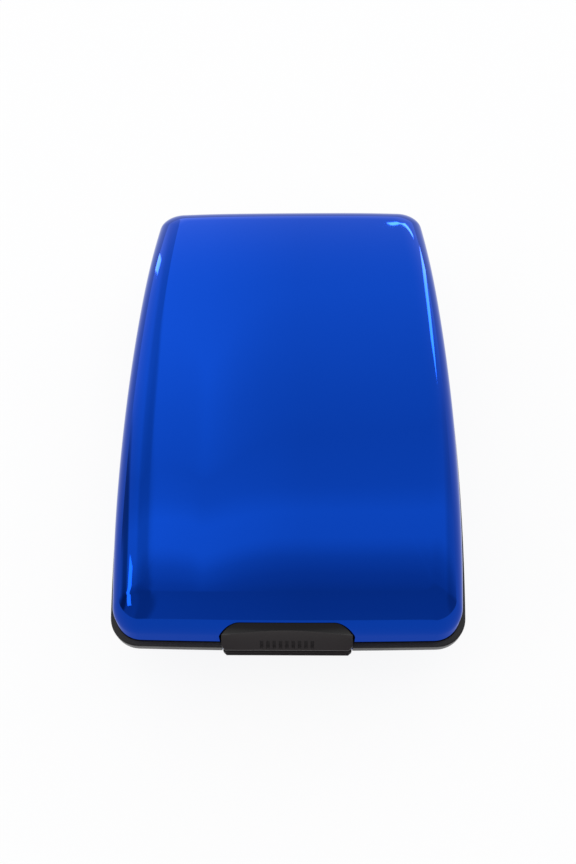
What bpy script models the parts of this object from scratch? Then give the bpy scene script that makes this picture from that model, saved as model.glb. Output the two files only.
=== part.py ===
"""Two-sided pocket case for cards and folded notes.

Two pressed aluminium covers, each with a moulded liner, close from both sides on a moulded
middle frame. Both lids turn on one pin at the far end (+Y) and are held by sprung latches at
the near end (-Y). The lid above the frame holds folded notes under a sprung clip. The lid
below it holds cards in a fan of thin leaves.

Metres, +Z up. The origin is the middle of the flat panel that the case rests on. The shapes
are worked out about the middle of the frame, which an empty lifts to its height.
"""

import math

import bmesh
import bpy
from mathutils import Matrix, Vector

# Whole case, measured over the black band
CASE_LENGTH = 0.107
CASE_WIDTH = 0.071
CASE_THICKNESS = 0.025
SIDE_BOW = 0.0028
END_BOW = 0.0005
CORNER_RADIUS = 0.0059
CORNER_TIGHTENING_SHARE = 0.5

# Gap between pieces that touch, and how far a cut runs past what it cuts
CLEARANCE = 0.0003
CUT_OVERRUN = 0.002

# Middle frame
FRAME_THICKNESS = 0.0022
FRAME_RING_WIDTH = 0.0042
DIVIDER_THICKNESS = 0.001

# Lids: pressed cover outside, moulded liner inside
BAND_LEDGE = 0.00095
COVER_WALL = 0.0008
LINER_WALL = 0.0008
EDGE_ROLL = 0.0065
WALL_DRAFT_DEG = 3.4
LENGTH_CROWN_SHARE = 0.36
WIDTH_CROWN_SHARE = 0.07
PANEL_LENGTH_SHARE = 0.45
PANEL_WIDTH_SHARE = 0.4
PANEL_CORNER = 0.009
CASH_LID_TOP = CASE_THICKNESS / 2

# How finely the outline and the rolled edge are divided
SIDE_STEPS = 4
CORNER_STEPS = 5
END_STEPS = 3
ROLL_STEPS = 4
CROWN_STEPS = 3
ROUND_SIDES = 24
PIN_SIDES = 12

# Hinge at the far end: seven knuckles on one pin
HINGE_OVERHANG = 0.0003
HINGE_BARREL_RADIUS = 0.0015
HINGE_PIN_RADIUS = 0.0005
HINGE_STRAP = 0.0006
MIDDLE_KNUCKLE = 0.008
LID_KNUCKLE = 0.006
OUTER_KNUCKLE = 0.005

# Latches at the near end
LATCH_WIDTH = 0.0239
LATCH_TOP_INSET = 0.0025
LATCH_SIDE_GAP = 0.0004
LATCH_TOP_GAP = 0.00035
LATCH_TOP_CORNER = 0.0026
LATCH_LIP_CORNER = 0.0008
LATCH_RECESS = 0.0018
LATCH_HEAD_DEPTH = 0.0018
LATCH_HUB_RADIUS = 0.0012
LATCH_PIN_RADIUS = 0.00045
LATCH_PIVOT_INSET = 0.0034
LATCH_PIVOT_DROP = 0.00245
LIP_REACH = 0.0006
LIP_TOP = 0.0017
LIP_NOSE = 0.0003
CREASE_DROP = 0.0016
CREASE_SINK = 0.00015
PAD_HOLLOW = 0.0006
BAND_SINK = 0.00008

# Catch on the frame that both latches hook under
CATCH_WIDTH = 0.0104
CATCH_DEPTH = 0.0018
CATCH_HEIGHT = 0.0026
CATCH_LIP = 0.001
CATCH_GROOVE_DEPTH = 0.001
BARB_HEIGHT = 0.0009
BARB_SIDE_PLAY = 0.0006

# Latch housing inside each liner
HOUSING_WALL = 0.0008
HOUSING_CHEEK = 0.0012
HOUSING_PLAY = 0.0004
CHEEK_FOOT = 0.0018

# Fan of card leaves under the frame
LEAF_COUNT = 6
LEAF_END_MARGIN = 0.0095
LEAF_SIDE_MARGIN = 0.007
LEAF_THICKNESS = 0.0004
LEAF_CORNER = 0.002
THUMB_CUT_RADIUS = 0.009
THUMB_CUT_DEPTH = 0.006
GUSSET_FILM = 0.00025
GUSSET_MOUTH_DEPTH = 0.0065
GUSSET_REAR_DEPTH = 0.0012
SPINE_CORNER_GAP = 0.0015

# Ribs of the card liner that carry the last leaf
RIB_WIDTH = 0.001
RIB_END_MARGIN = 0.004
RIB_SPACING = 0.026
RIB_PAIR_SPACING = 0.018

# Sprung note clip on top of the frame
CLIP_PIN_SETBACK = 0.0255
CLIP_WIDTH = 0.018
CLIP_LENGTH = 0.0495
CLIP_SHEET = 0.0005
CLIP_BARREL_RADIUS = 0.00105
CLIP_PIN_RADIUS = 0.00045
CLIP_EAR_WIDTH = 0.0016
CLIP_TIP_LENGTH = 0.0055
CLIP_TIP_RISE = 0.0015
CLIP_BASE_LENGTH = 0.011
CLIP_BASE_WIDTH = 0.016
CLIP_BASE_SHEET = 0.0006
CLIP_BASE_FRONT = 0.001
RIVET_HEAD_RADIUS = 0.0014
RIVET_HEAD_HEIGHT = 0.0006
RIVET_SHANK_RADIUS = 0.0006
RIVET_SPACING = 0.009
RIVET_SETBACK = 0.0035

# Torsion springs of the latches and the clip
SPRING_RADIUS = 0.0008
SPRING_WIRE_RADIUS = 0.00015
SPRING_LENGTH = 0.0048
SPRING_LEG = 0.0007
SPRING_TURNS = 4.5
SPRING_POINTS_PER_TURN = 10

# Sizes that follow from the ones above
HALF_LENGTH = CASE_LENGTH / 2
HALF_WIDTH = CASE_WIDTH / 2
FRAME_TOP = FRAME_THICKNESS / 2
COVER_RIM = FRAME_TOP + CLEARANCE
PANEL_LENGTH = CASE_LENGTH * PANEL_LENGTH_SHARE
PANEL_WIDTH = CASE_WIDTH * PANEL_WIDTH_SHARE
WALL_HEIGHT = CASH_LID_TOP - EDGE_ROLL - COVER_RIM
WALL_LEAN = WALL_HEIGHT * math.tan(math.radians(WALL_DRAFT_DEG))
LINER_OUTSIDE = COVER_WALL + CLEARANCE
LINER_MIDDLE = LINER_OUTSIDE + LINER_WALL / 2
LINER_INSIDE = LINER_OUTSIDE + LINER_WALL
HINGE_Y = HALF_LENGTH + HINGE_OVERHANG
HINGE_STRAP_Y = HALF_LENGTH - BAND_LEDGE - LINER_MIDDLE
LATCH_HALF = LATCH_WIDTH / 2
NOTCH_HALF = LATCH_HALF + LATCH_SIDE_GAP
RECESS_FACE_Y = -HALF_LENGTH + LATCH_RECESS
LATCH_BACK_Y = RECESS_FACE_Y - CLEARANCE
LATCH_PIVOT_Y = -HALF_LENGTH + LATCH_PIVOT_INSET
HOUSING_FRONT_Y = LATCH_PIVOT_Y + LATCH_HUB_RADIUS + HOUSING_PLAY
SPRING_ROOM = SPRING_RADIUS + SPRING_WIRE_RADIUS + CLEARANCE
CATCH_UNDERSIDE = CATCH_HEIGHT - CATCH_LIP
LEAF_LENGTH = CASE_LENGTH - 2 * LEAF_END_MARGIN
LEAF_WIDTH = CASE_WIDTH - 2 * LEAF_SIDE_MARGIN
RIB_LENGTH = LEAF_LENGTH - 2 * RIB_END_MARGIN
FIRST_LEAF_Z = -(DIVIDER_THICKNESS / 2 + CLEARANCE + LEAF_THICKNESS / 2)
CLIP_PIN_Y = HALF_LENGTH - CLIP_PIN_SETBACK
CLIP_BASE_BOTTOM = DIVIDER_THICKNESS / 2 + CLEARANCE
CLIP_BASE_TOP = CLIP_BASE_BOTTOM + CLIP_BASE_SHEET
CLIP_PIN_Z = CLIP_BASE_TOP + CLEARANCE + CLIP_BARREL_RADIUS


def arc(centre, radius, start_deg, end_deg, steps):
    """Points on an arc, both ends included."""
    points = []
    for i in range(steps + 1):
        angle = math.radians(start_deg + (end_deg - start_deg) * i / steps)
        points.append((centre[0] + radius * math.cos(angle), centre[1] + radius * math.sin(angle)))
    return points


def bowed_outline(half_x, half_y, side_curve, end_curve, radius):
    """Anticlockwise outline with bowed sides and ends and round corners, from the middle of +X.

    A side lies at half_x less side_curve times y squared, an end at half_y less end_curve
    times x squared. The corner arc's centre is found by steps, since each bow moves it.
    """
    side_y = half_y - radius
    end_x = half_x - radius
    for _ in range(12):
        side_turn = math.atan(2 * side_curve * side_y)
        end_turn = math.atan(2 * end_curve * end_x)
        centre_x = half_x - side_curve * side_y**2 - radius * math.cos(side_turn)
        centre_y = half_y - end_curve * end_x**2 - radius * math.cos(end_turn)
        side_y = centre_y + radius * math.sin(side_turn)
        end_x = centre_x + radius * math.sin(end_turn)
    quarter = []
    for i in range(SIDE_STEPS):
        y = side_y * i / SIDE_STEPS
        quarter.append((half_x - side_curve * y**2, y))
    quarter += arc(
        (centre_x, centre_y), radius, math.degrees(side_turn), 90 - math.degrees(end_turn), CORNER_STEPS
    )
    for i in range(1, END_STEPS):
        x = end_x * (1 - i / END_STEPS)
        quarter.append((x, half_y - end_curve * x**2))
    quarter.append((0, half_y))
    left = [(-x, y) for x, y in reversed(quarter[:-1])]
    upper = quarter + left
    lower = [(x, -y) for x, y in reversed(upper[1:-1])]
    return upper + lower


def case_outline(inset):
    """The case's outline in plan, set in all round. Corners tighten slower than a true offset."""
    return bowed_outline(
        HALF_WIDTH - inset,
        HALF_LENGTH - inset,
        SIDE_BOW / HALF_LENGTH**2,
        END_BOW / HALF_WIDTH**2,
        CORNER_RADIUS - CORNER_TIGHTENING_SHARE * inset,
    )


def panel_outline():
    """The flat middle panel of each cover, which the case rests on."""
    return bowed_outline(PANEL_WIDTH / 2, PANEL_LENGTH / 2, 0, 0, PANEL_CORNER)


def height_left(x, y):
    """The share of a lid's height that its crown leaves at a point: 1 on the flat panel."""
    past_x = max(0, abs(x) - PANEL_WIDTH / 2) / (HALF_WIDTH - PANEL_WIDTH / 2)
    past_y = max(0, abs(y) - PANEL_LENGTH / 2) / (HALF_LENGTH - PANEL_LENGTH / 2)
    return 1 - WIDTH_CROWN_SHARE * past_x**2 - LENGTH_CROWN_SHARE * past_y**2


def roll_ring(depth, turn_share):
    """A ring on the rolled edge of a skin that lies depth inside the cover's outside."""
    angle = turn_share * math.pi / 2
    inset = BAND_LEDGE + WALL_LEAN + depth + (EDGE_ROLL - depth) * (1 - math.cos(angle))
    ring = []
    for x, y in case_outline(inset):
        left = height_left(x, y)
        foot = COVER_RIM + WALL_HEIGHT * left
        ring.append((x, y, foot + (EDGE_ROLL * left - depth) * math.sin(angle)))
    return ring


def end_profile():
    """The cover's outside on the centre line of the near end, as (y, z) from rim to panel."""
    profile = [(BAND_LEDGE - HALF_LENGTH, COVER_RIM)]
    for step in range(ROUND_SIDES + 1):
        angle = step / ROUND_SIDES * math.pi / 2
        y = HALF_LENGTH - BAND_LEDGE - WALL_LEAN - EDGE_ROLL * (1 - math.cos(angle))
        left = height_left(0, y)
        profile.append((-y, COVER_RIM + WALL_HEIGHT * left + EDGE_ROLL * left * math.sin(angle)))
    return profile


def between(pairs, value):
    """Reads a rising table of (value, result) pairs at a value, straight from pair to pair."""
    for (low, low_result), (high, high_result) in zip(pairs, pairs[1:]):
        if value <= high:
            break
    return low_result + (high_result - low_result) * (value - low) / (high - low)


def cover_end_z(y):
    return between(end_profile(), y)


def cover_end_y(z):
    return between([(z, y) for y, z in end_profile()], z)


def inside_height(x, y):
    """Height of the liner's inside over a point beside the panel, where its side rolls in."""
    side_x = HALF_WIDTH - SIDE_BOW * (y / HALF_LENGTH) ** 2
    from_wall = side_x - x - BAND_LEDGE - WALL_LEAN - LINER_INSIDE
    turn = math.acos(max(0, 1 - from_wall / (EDGE_ROLL - LINER_INSIDE)))
    left = height_left(x, y)
    return COVER_RIM + WALL_HEIGHT * left + (EDGE_ROLL * left - LINER_INSIDE) * math.sin(turn)


# Heights that follow from the lid's skin
LATCH_TOP = cover_end_z(LATCH_TOP_INSET - HALF_LENGTH)
LATCH_PIVOT_HEIGHT = LATCH_TOP - LATCH_PIVOT_DROP
CREASE_HEIGHT = LATCH_TOP - CREASE_DROP
NOTCH_TOP = LATCH_TOP + LATCH_TOP_GAP
HOUSING_ROOF = LATCH_PIVOT_HEIGHT + LATCH_HUB_RADIUS + HOUSING_PLAY
GUSSET_EDGE = LEAF_WIDTH / 2 + CLEARANCE + GUSSET_FILM
LAST_LEAF_Z = LEAF_THICKNESS / 2 + CLEARANCE - inside_height(GUSSET_EDGE, LEAF_LENGTH / 2)
LEAF_PITCH = (FIRST_LEAF_Z - LAST_LEAF_Z) / (LEAF_COUNT - 1)


def clear_scene():
    for item in list(bpy.data.objects):
        bpy.data.objects.remove(item, do_unlink=True)


def new_collection(name):
    collection = bpy.data.collections.new(name)
    bpy.context.scene.collection.children.link(collection)
    return collection


def new_material(name, color, roughness, metallic):
    material = bpy.data.materials.new(name)
    material.use_nodes = True
    shader = material.node_tree.nodes["Principled BSDF"]
    shader.inputs["Base Color"].default_value = (*color, 1)
    shader.inputs["Roughness"].default_value = roughness
    shader.inputs["Metallic"].default_value = metallic
    material.diffuse_color = (*color, 1)
    return material


clear_scene()
PARTS = new_collection("card_and_note_case")
CUTTERS = new_collection("cutters_and_joined_shapes")


def axis_empty(name, y, z, parent=None):
    """An empty on a joint's axis, which runs along X. What it carries turns with it."""
    empty = bpy.data.objects.new(name, None)
    empty.empty_display_size = CASE_THICKNESS
    empty.location = (0, y, z)
    PARTS.objects.link(empty)
    bpy.context.view_layer.update()
    if parent:
        empty.parent = parent
        empty.matrix_parent_inverse = parent.matrix_world.inverted()
    bpy.context.view_layer.update()
    return empty


FRAME_MIDDLE = axis_empty("frame_middle", 0, 0)
LID_HINGES = {
    "cash": axis_empty("cash_lid_hinge", HINGE_Y, 0, FRAME_MIDDLE),
    "card": axis_empty("card_lid_hinge", HINGE_Y, 0, FRAME_MIDDLE),
}
LATCH_PIVOTS = {
    "cash": axis_empty("cash_latch_pivot", LATCH_PIVOT_Y, LATCH_PIVOT_HEIGHT, LID_HINGES["cash"]),
    "card": axis_empty("card_latch_pivot", LATCH_PIVOT_Y, -LATCH_PIVOT_HEIGHT, LID_HINGES["card"]),
}
CLIP_PIVOT = axis_empty("note_clip_pivot", CLIP_PIN_Y, CLIP_PIN_Z, FRAME_MIDDLE)

BLUE_ALUMINIUM = ((0.004, 0.035, 0.30), 0.18, 1)
BLACK_ABS = ((0.022, 0.022, 0.024), 0.45, 0)
BRIGHT_STEEL = ((0.55, 0.55, 0.56), 0.25, 1)
SMOKE_FILM = ((0.06, 0.065, 0.07), 0.35, 0)


def carry(item, carrier):
    """Parents an object to the empty that carries it and leaves it where it is."""
    item.parent = carrier
    item.matrix_parent_inverse = carrier.matrix_world.inverted()


def place(name, mesh, finish, carrier=FRAME_MIDDLE):
    """Adds a finished piece: its own object with its own material, named alike."""
    mesh.materials.clear()
    mesh.materials.append(new_material(name, *finish))
    piece = bpy.data.objects.new(name, mesh)
    PARTS.objects.link(piece)
    carry(piece, carrier)
    return piece


def helper(name, bm):
    """Adds a shape that only cuts, joins or trims a piece."""
    mesh = bpy.data.meshes.new(name)
    bm.to_mesh(mesh)
    bm.free()
    shape = bpy.data.objects.new(name, mesh)
    shape.hide_render = True
    shape.display_type = "WIRE"
    CUTTERS.objects.link(shape)
    carry(shape, FRAME_MIDDLE)
    return shape


def combine(piece, operation, *shapes):
    for shape in shapes:
        step = piece.modifiers.new(f"{operation.lower()}_{shape.name}", "BOOLEAN")
        step.operation = operation
        step.solver = "EXACT"
        step.object = shape


def make_mesh(name, bm):
    mesh = bpy.data.meshes.new(name)
    bm.to_mesh(mesh)
    bm.free()
    return mesh


def block(low, high):
    """A box between two corners."""
    low, high = Vector(low), Vector(high)
    bm = bmesh.new()
    bmesh.ops.create_cube(bm, size=1)
    size = high - low
    bmesh.ops.transform(bm, matrix=Matrix.Diagonal((*size, 1)), verts=bm.verts)
    bmesh.ops.translate(bm, vec=(low + high) / 2, verts=bm.verts)
    bmesh.ops.recalc_face_normals(bm, faces=bm.faces)
    return bm


def rod_x(x_low, x_high, y, z, radius, sides):
    """A round rod along X."""
    bm = bmesh.new()
    bmesh.ops.create_cone(
        bm, cap_ends=True, segments=sides, radius1=radius, radius2=radius, depth=x_high - x_low
    )
    bmesh.ops.rotate(bm, cent=(0, 0, 0), matrix=Matrix.Rotation(math.pi / 2, 3, "Y"), verts=bm.verts)
    bmesh.ops.translate(bm, vec=((x_low + x_high) / 2, y, z), verts=bm.verts)
    return bm


def rod_z(x, y, z_low, z_high, radius, sides):
    """A round rod along Z."""
    bm = bmesh.new()
    bmesh.ops.create_cone(
        bm, cap_ends=True, segments=sides, radius1=radius, radius2=radius, depth=z_high - z_low
    )
    bmesh.ops.translate(bm, vec=(x, y, (z_low + z_high) / 2), verts=bm.verts)
    return bm


def loft(rings, cap_first, cap_last):
    """Joins rings of equal point counts into one skin, each ring to the next."""
    bm = bmesh.new()
    rows = [[bm.verts.new(point) for point in ring] for ring in rings]
    count = len(rows[0])
    for lower, upper in zip(rows, rows[1:]):
        for i in range(count):
            j = (i + 1) % count
            bm.faces.new((lower[i], lower[j], upper[j], upper[i]))
    if cap_first:
        bm.faces.new(reversed(rows[0]))
    if cap_last:
        bm.faces.new(rows[-1])
    return bm


def solid_loft(rings):
    bm = loft(rings, cap_first=True, cap_last=True)
    bmesh.ops.recalc_face_normals(bm, faces=bm.faces)
    return bm


def prism_x(profile, x_low, x_high):
    """A profile of (y, z) points drawn out along X."""
    return solid_loft([[(x, y, z) for y, z in profile] for x in (x_low, x_high)])


def prism_y(profile, y_low, y_high):
    """A profile of (x, z) points drawn out along Y."""
    return solid_loft([[(x, y, z) for x, z in profile] for y in (y_low, y_high)])


def prism_z(outline, z_low, z_high):
    """An outline of (x, y) points drawn out along Z."""
    return solid_loft([[(x, y, z) for x, y in outline] for z in (z_low, z_high)])


def lid_skin(depth, foot_z):
    """Rings of a lid skin that lies depth inside the cover's outside, from its foot to its panel."""
    rings = [[(x, y, foot_z) for x, y in case_outline(BAND_LEDGE + depth)]]
    for step in range(ROLL_STEPS + 1):
        rings.append(roll_ring(depth, step / ROLL_STEPS))
    crown_edge = rings[-1]
    for step in range(1, CROWN_STEPS + 1):
        share = step / CROWN_STEPS
        ring = []
        for outer, inner in zip(crown_edge, panel_outline()):
            x = outer[0] + (inner[0] - outer[0]) * share
            y = outer[1] + (inner[1] - outer[1]) * share
            z = COVER_RIM + (CASH_LID_TOP - COVER_RIM) * height_left(x, y) - depth
            ring.append((x, y, z))
        rings.append(ring)
    return rings


def flipped(bm, side):
    """Turns a shape of the upper lid into the one of the lower lid when side is -1."""
    if side < 0:
        bmesh.ops.transform(bm, matrix=Matrix.Diagonal((1, 1, -1, 1)), verts=bm.verts)
        bmesh.ops.reverse_faces(bm, faces=bm.faces)
    return bm


def hinge_spans(owner):
    """Where the knuckles of frame, cash or card lie along X: seven in a row with a gap between."""
    middle = MIDDLE_KNUCKLE / 2
    card_end = middle + CLEARANCE + LID_KNUCKLE
    cash_end = card_end + CLEARANCE + LID_KNUCKLE
    outer_end = cash_end + CLEARANCE + OUTER_KNUCKLE
    if owner == "frame":
        return [(-outer_end, -cash_end - CLEARANCE), (-middle, middle), (cash_end + CLEARANCE, outer_end)]
    start, end = (middle + CLEARANCE, card_end) if owner == "card" else (card_end + CLEARANCE, cash_end)
    return [(-end, -start), (start, end)]


HINGE_HALF = hinge_spans("frame")[-1][1]


def hinge_barrels(owner):
    return [
        helper(f"{owner}_barrel_{i}", rod_x(low, high, HINGE_Y, 0, HINGE_BARREL_RADIUS, ROUND_SIDES))
        for i, (low, high) in enumerate(hinge_spans(owner))
    ]


def hinge_straps(lid, side):
    """Bent straps that join a lid's knuckles to the wall of its liner, round the cover's rim."""
    inner_y = HINGE_STRAP_Y - HINGE_STRAP / 2
    outer_y = HINGE_STRAP_Y + HINGE_STRAP / 2
    profile = [
        (HINGE_Y, CLEARANCE),
        (HINGE_Y, FRAME_TOP),
        (outer_y, FRAME_TOP),
        (outer_y, COVER_RIM + HINGE_STRAP),
        (inner_y, COVER_RIM + HINGE_STRAP),
        (inner_y, CLEARANCE),
    ]
    straps = []
    for i, (low, high) in enumerate(hinge_spans(lid)):
        strap = prism_x(profile, low + CLEARANCE, high - CLEARANCE)
        straps.append(helper(f"{lid}_strap_{i}", flipped(strap, side)))
    return straps


def hinge_notches():
    """Boxes that clear the frame's far edge round the straps and knuckles of both lids."""
    inner_y = HINGE_STRAP_Y - HINGE_STRAP / 2 - CLEARANCE
    outer_y = HINGE_Y + HINGE_BARREL_RADIUS + CLEARANCE
    reach = FRAME_TOP + CUT_OVERRUN
    notches = []
    for lid in ("cash", "card"):
        for i, (low, high) in enumerate(hinge_spans(lid)):
            shape = block((low - CLEARANCE, inner_y, -reach), (high + CLEARANCE, outer_y, reach))
            notches.append(helper(f"frame_notch_{lid}_{i}", shape))
    return notches


def hinge_bore(name):
    reach = HINGE_HALF + CUT_OVERRUN
    return helper(
        f"{name}_hinge_bore", rod_x(-reach, reach, HINGE_Y, 0, HINGE_PIN_RADIUS + CLEARANCE, ROUND_SIDES)
    )


def rivet_places():
    y = CLIP_PIN_Y - CLIP_BASE_FRONT + CLIP_BASE_LENGTH - RIVET_SETBACK
    return [(-RIVET_SPACING / 2, y), (RIVET_SPACING / 2, y)]


def build_mid_frame():
    """Moulded frame: outer ring, divider, catch block and three hinge knuckles in one piece."""
    frame = place(
        "mid_frame", make_mesh("mid_frame", prism_z(case_outline(0), -FRAME_TOP, FRAME_TOP)), BLACK_ABS
    )
    divider = DIVIDER_THICKNESS / 2
    reach = FRAME_TOP + CUT_OVERRUN
    inner = case_outline(FRAME_RING_WIDTH)
    combine(
        frame,
        "DIFFERENCE",
        helper("frame_pocket_above", prism_z(inner, divider, reach)),
        helper("frame_pocket_below", prism_z(inner, -reach, -divider)),
    )
    catch_half = CATCH_WIDTH / 2
    catch_back_y = RECESS_FACE_Y + CATCH_DEPTH
    catch_front_y = RECESS_FACE_Y - CLEARANCE
    combine(
        frame,
        "UNION",
        helper(
            "catch_block",
            block((-catch_half, catch_front_y, -CATCH_HEIGHT), (catch_half, catch_back_y, CATCH_HEIGHT)),
        ),
        *hinge_barrels("frame"),
    )
    front = -HALF_LENGTH - CUT_OVERRUN
    recess_z = CATCH_HEIGHT + CUT_OVERRUN
    groove_half = catch_half + CLEARANCE
    groove_y = RECESS_FACE_Y + CATCH_GROOVE_DEPTH
    combine(
        frame,
        "DIFFERENCE",
        helper(
            "frame_latch_recess",
            block((-NOTCH_HALF, front, -recess_z), (NOTCH_HALF, RECESS_FACE_Y, recess_z)),
        ),
        helper(
            "frame_catch_groove",
            block((-groove_half, front, -CATCH_UNDERSIDE), (groove_half, groove_y, CATCH_UNDERSIDE)),
        ),
        *hinge_notches(),
        hinge_bore("frame"),
    )
    for i, (x, y) in enumerate(rivet_places()):
        hole = rod_z(x, y, -reach, reach, RIVET_SHANK_RADIUS + CLEARANCE, PIN_SIDES)
        combine(frame, "DIFFERENCE", helper(f"frame_rivet_hole_{i}", hole))


def build_cover(lid, side):
    """Pressed and anodised aluminium cover, open at the rim, notched for its latch."""
    skin = loft(lid_skin(0, COVER_RIM), cap_first=False, cap_last=True)
    mesh = make_mesh(f"{lid}_cover", flipped(skin, side))
    cover = place(f"{lid}_cover", mesh, BLUE_ALUMINIUM, LID_HINGES[lid])
    wall = cover.modifiers.new("wall", "SOLIDIFY")
    wall.thickness = COVER_WALL
    wall.offset = -1
    wall.use_even_offset = True
    combine(cover, "DIFFERENCE", helper(f"{lid}_cover_notch", flipped(latch_notch(), side)))


def latch_notch():
    """Opening in the cover for the latch: square at the rim, round at its two upper corners."""
    corner = LATCH_TOP_CORNER + LATCH_SIDE_GAP
    low = COVER_RIM - CUT_OVERRUN
    profile = [(-NOTCH_HALF, low), (NOTCH_HALF, low)]
    profile += arc((NOTCH_HALF - corner, NOTCH_TOP - corner), corner, 0, 90, CORNER_STEPS)
    profile += arc((corner - NOTCH_HALF, NOTCH_TOP - corner), corner, 90, 180, CORNER_STEPS)
    back = HOUSING_FRONT_Y
    return prism_y(profile, -HALF_LENGTH - CUT_OVERRUN, back)


def housing_shapes(lid, side):
    """Back wall and two cheeks that carry the latch pin, trimmed to the liner's own thickness."""
    cheek_x = NOTCH_HALF + HOUSING_CHEEK
    back_y = HOUSING_FRONT_Y + HOUSING_WALL
    cheek_low = LATCH_PIVOT_HEIGHT - CHEEK_FOOT
    shapes = [
        block((-cheek_x, HOUSING_FRONT_Y, COVER_RIM), (cheek_x, back_y, CASH_LID_TOP)),
        block((-cheek_x, -HALF_LENGTH, cheek_low), (-NOTCH_HALF, back_y, CASH_LID_TOP)),
        block((NOTCH_HALF, -HALF_LENGTH, cheek_low), (cheek_x, back_y, CASH_LID_TOP)),
    ]
    return [helper(f"{lid}_housing_{i}", flipped(shape, side)) for i, shape in enumerate(shapes)]


def rib_shapes(lid, side):
    """Four long ribs in the card liner, whose edges the last leaf is glued to."""
    rib_foot = -LAST_LEAF_Z + LEAF_THICKNESS / 2 + CLEARANCE
    half = RIB_WIDTH / 2
    inner_x = RIB_PAIR_SPACING / 2
    outer_x = inner_x + RIB_SPACING / 2
    shapes = [
        block((x - half, -RIB_LENGTH / 2, rib_foot), (x + half, RIB_LENGTH / 2, CASH_LID_TOP))
        for x in (-outer_x, -inner_x, inner_x, outer_x)
    ]
    return [helper(f"{lid}_rib_{i}", flipped(shape, side)) for i, shape in enumerate(shapes)]


def build_liner(lid, side):
    """Moulded liner: a tray inside the cover, with the latch housing and two hinge knuckles."""
    rings = list(reversed(lid_skin(LINER_INSIDE, COVER_RIM))) + lid_skin(LINER_OUTSIDE, COVER_RIM)
    mesh = make_mesh(f"{lid}_liner", flipped(solid_loft(rings), side))
    liner = place(f"{lid}_liner", mesh, BLACK_ABS, LID_HINGES[lid])
    added = housing_shapes(lid, side)
    if lid == "card":
        added += rib_shapes(lid, side)
    for i, shape in enumerate(added):
        core = solid_loft(lid_skin(LINER_MIDDLE, COVER_RIM - CUT_OVERRUN))
        combine(shape, "INTERSECT", helper(f"{lid}_core_{i}", flipped(core, side)))
    front = -HALF_LENGTH - CUT_OVERRUN
    foot = COVER_RIM - CUT_OVERRUN
    head_room_y = LATCH_PIVOT_Y + LATCH_HUB_RADIUS / 2
    head_room = block((-NOTCH_HALF, front, foot), (NOTCH_HALF, head_room_y, NOTCH_TOP))
    hub_room = block((-NOTCH_HALF, front, foot), (NOTCH_HALF, HOUSING_FRONT_Y, HOUSING_ROOF))
    pin_reach = NOTCH_HALF + HOUSING_CHEEK + CUT_OVERRUN
    bore = rod_x(
        -pin_reach, pin_reach, LATCH_PIVOT_Y, LATCH_PIVOT_HEIGHT, LATCH_PIN_RADIUS + CLEARANCE, ROUND_SIDES
    )
    combine(liner, "UNION", *added)
    combine(
        liner,
        "DIFFERENCE",
        helper(f"{lid}_latch_head_room", flipped(head_room, side)),
        helper(f"{lid}_latch_hub_room", flipped(hub_room, side)),
        helper(f"{lid}_latch_pin_bore", flipped(bore, side)),
    )
    combine(liner, "UNION", *hinge_straps(lid, side), *hinge_barrels(lid))
    combine(liner, "DIFFERENCE", hinge_bore(lid))


def latch_profile():
    """Side view of the latch: a band flush with the cover, a crease, a hollow pad and a lip."""
    band_foot = CREASE_HEIGHT + LATCH_LIP_CORNER / 2
    band = []
    for i in range(ROLL_STEPS + 1):
        z = LATCH_TOP + (band_foot - LATCH_TOP) * i / ROLL_STEPS
        band.append((cover_end_y(z) + BAND_SINK, z))
    crease = (cover_end_y(CREASE_HEIGHT) + CREASE_SINK, CREASE_HEIGHT)
    lip_y = -HALF_LENGTH - LIP_REACH
    lip = (lip_y + LIP_NOSE / 2, LIP_TOP)
    bend = ((crease[0] + lip[0]) / 2 + PAD_HOLLOW / 2, (crease[1] + lip[1]) / 2 - PAD_HOLLOW)
    pad = []
    for i in range(CORNER_STEPS + 1):
        t = i / CORNER_STEPS
        near, far = (1 - t) ** 2, t**2
        both = 2 * t * (1 - t)
        pad.append(tuple(near * a + both * b + far * c for a, b, c in zip(crease, bend, lip)))
    nose = [(lip_y, LIP_TOP - LIP_NOSE), (lip_y, CLEARANCE + LIP_NOSE), (lip_y + LIP_NOSE, CLEARANCE)]
    hub_side = LATCH_BACK_Y + LATCH_HEAD_DEPTH
    back = [
        (LATCH_BACK_Y, CLEARANCE),
        (LATCH_BACK_Y, LATCH_PIVOT_HEIGHT - LATCH_HUB_RADIUS - CLEARANCE),
        (hub_side, LATCH_PIVOT_HEIGHT - LATCH_HUB_RADIUS / 2),
        (hub_side, LATCH_TOP - LIP_NOSE),
        (hub_side - LIP_NOSE, LATCH_TOP),
    ]
    return band + pad + nose + back


def latch_face():
    """Front view of the latch, with its round corners."""
    top, lip = LATCH_TOP_CORNER, LATCH_LIP_CORNER
    face = arc((LATCH_HALF - lip, CLEARANCE + lip), lip, -90, 0, CORNER_STEPS)
    face += arc((LATCH_HALF - top, LATCH_TOP - top), top, 0, 90, CORNER_STEPS)
    face += arc((top - LATCH_HALF, LATCH_TOP - top), top, 90, 180, CORNER_STEPS)
    face += arc((lip - LATCH_HALF, CLEARANCE + lip), lip, 180, 270, CORNER_STEPS)
    return face


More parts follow.
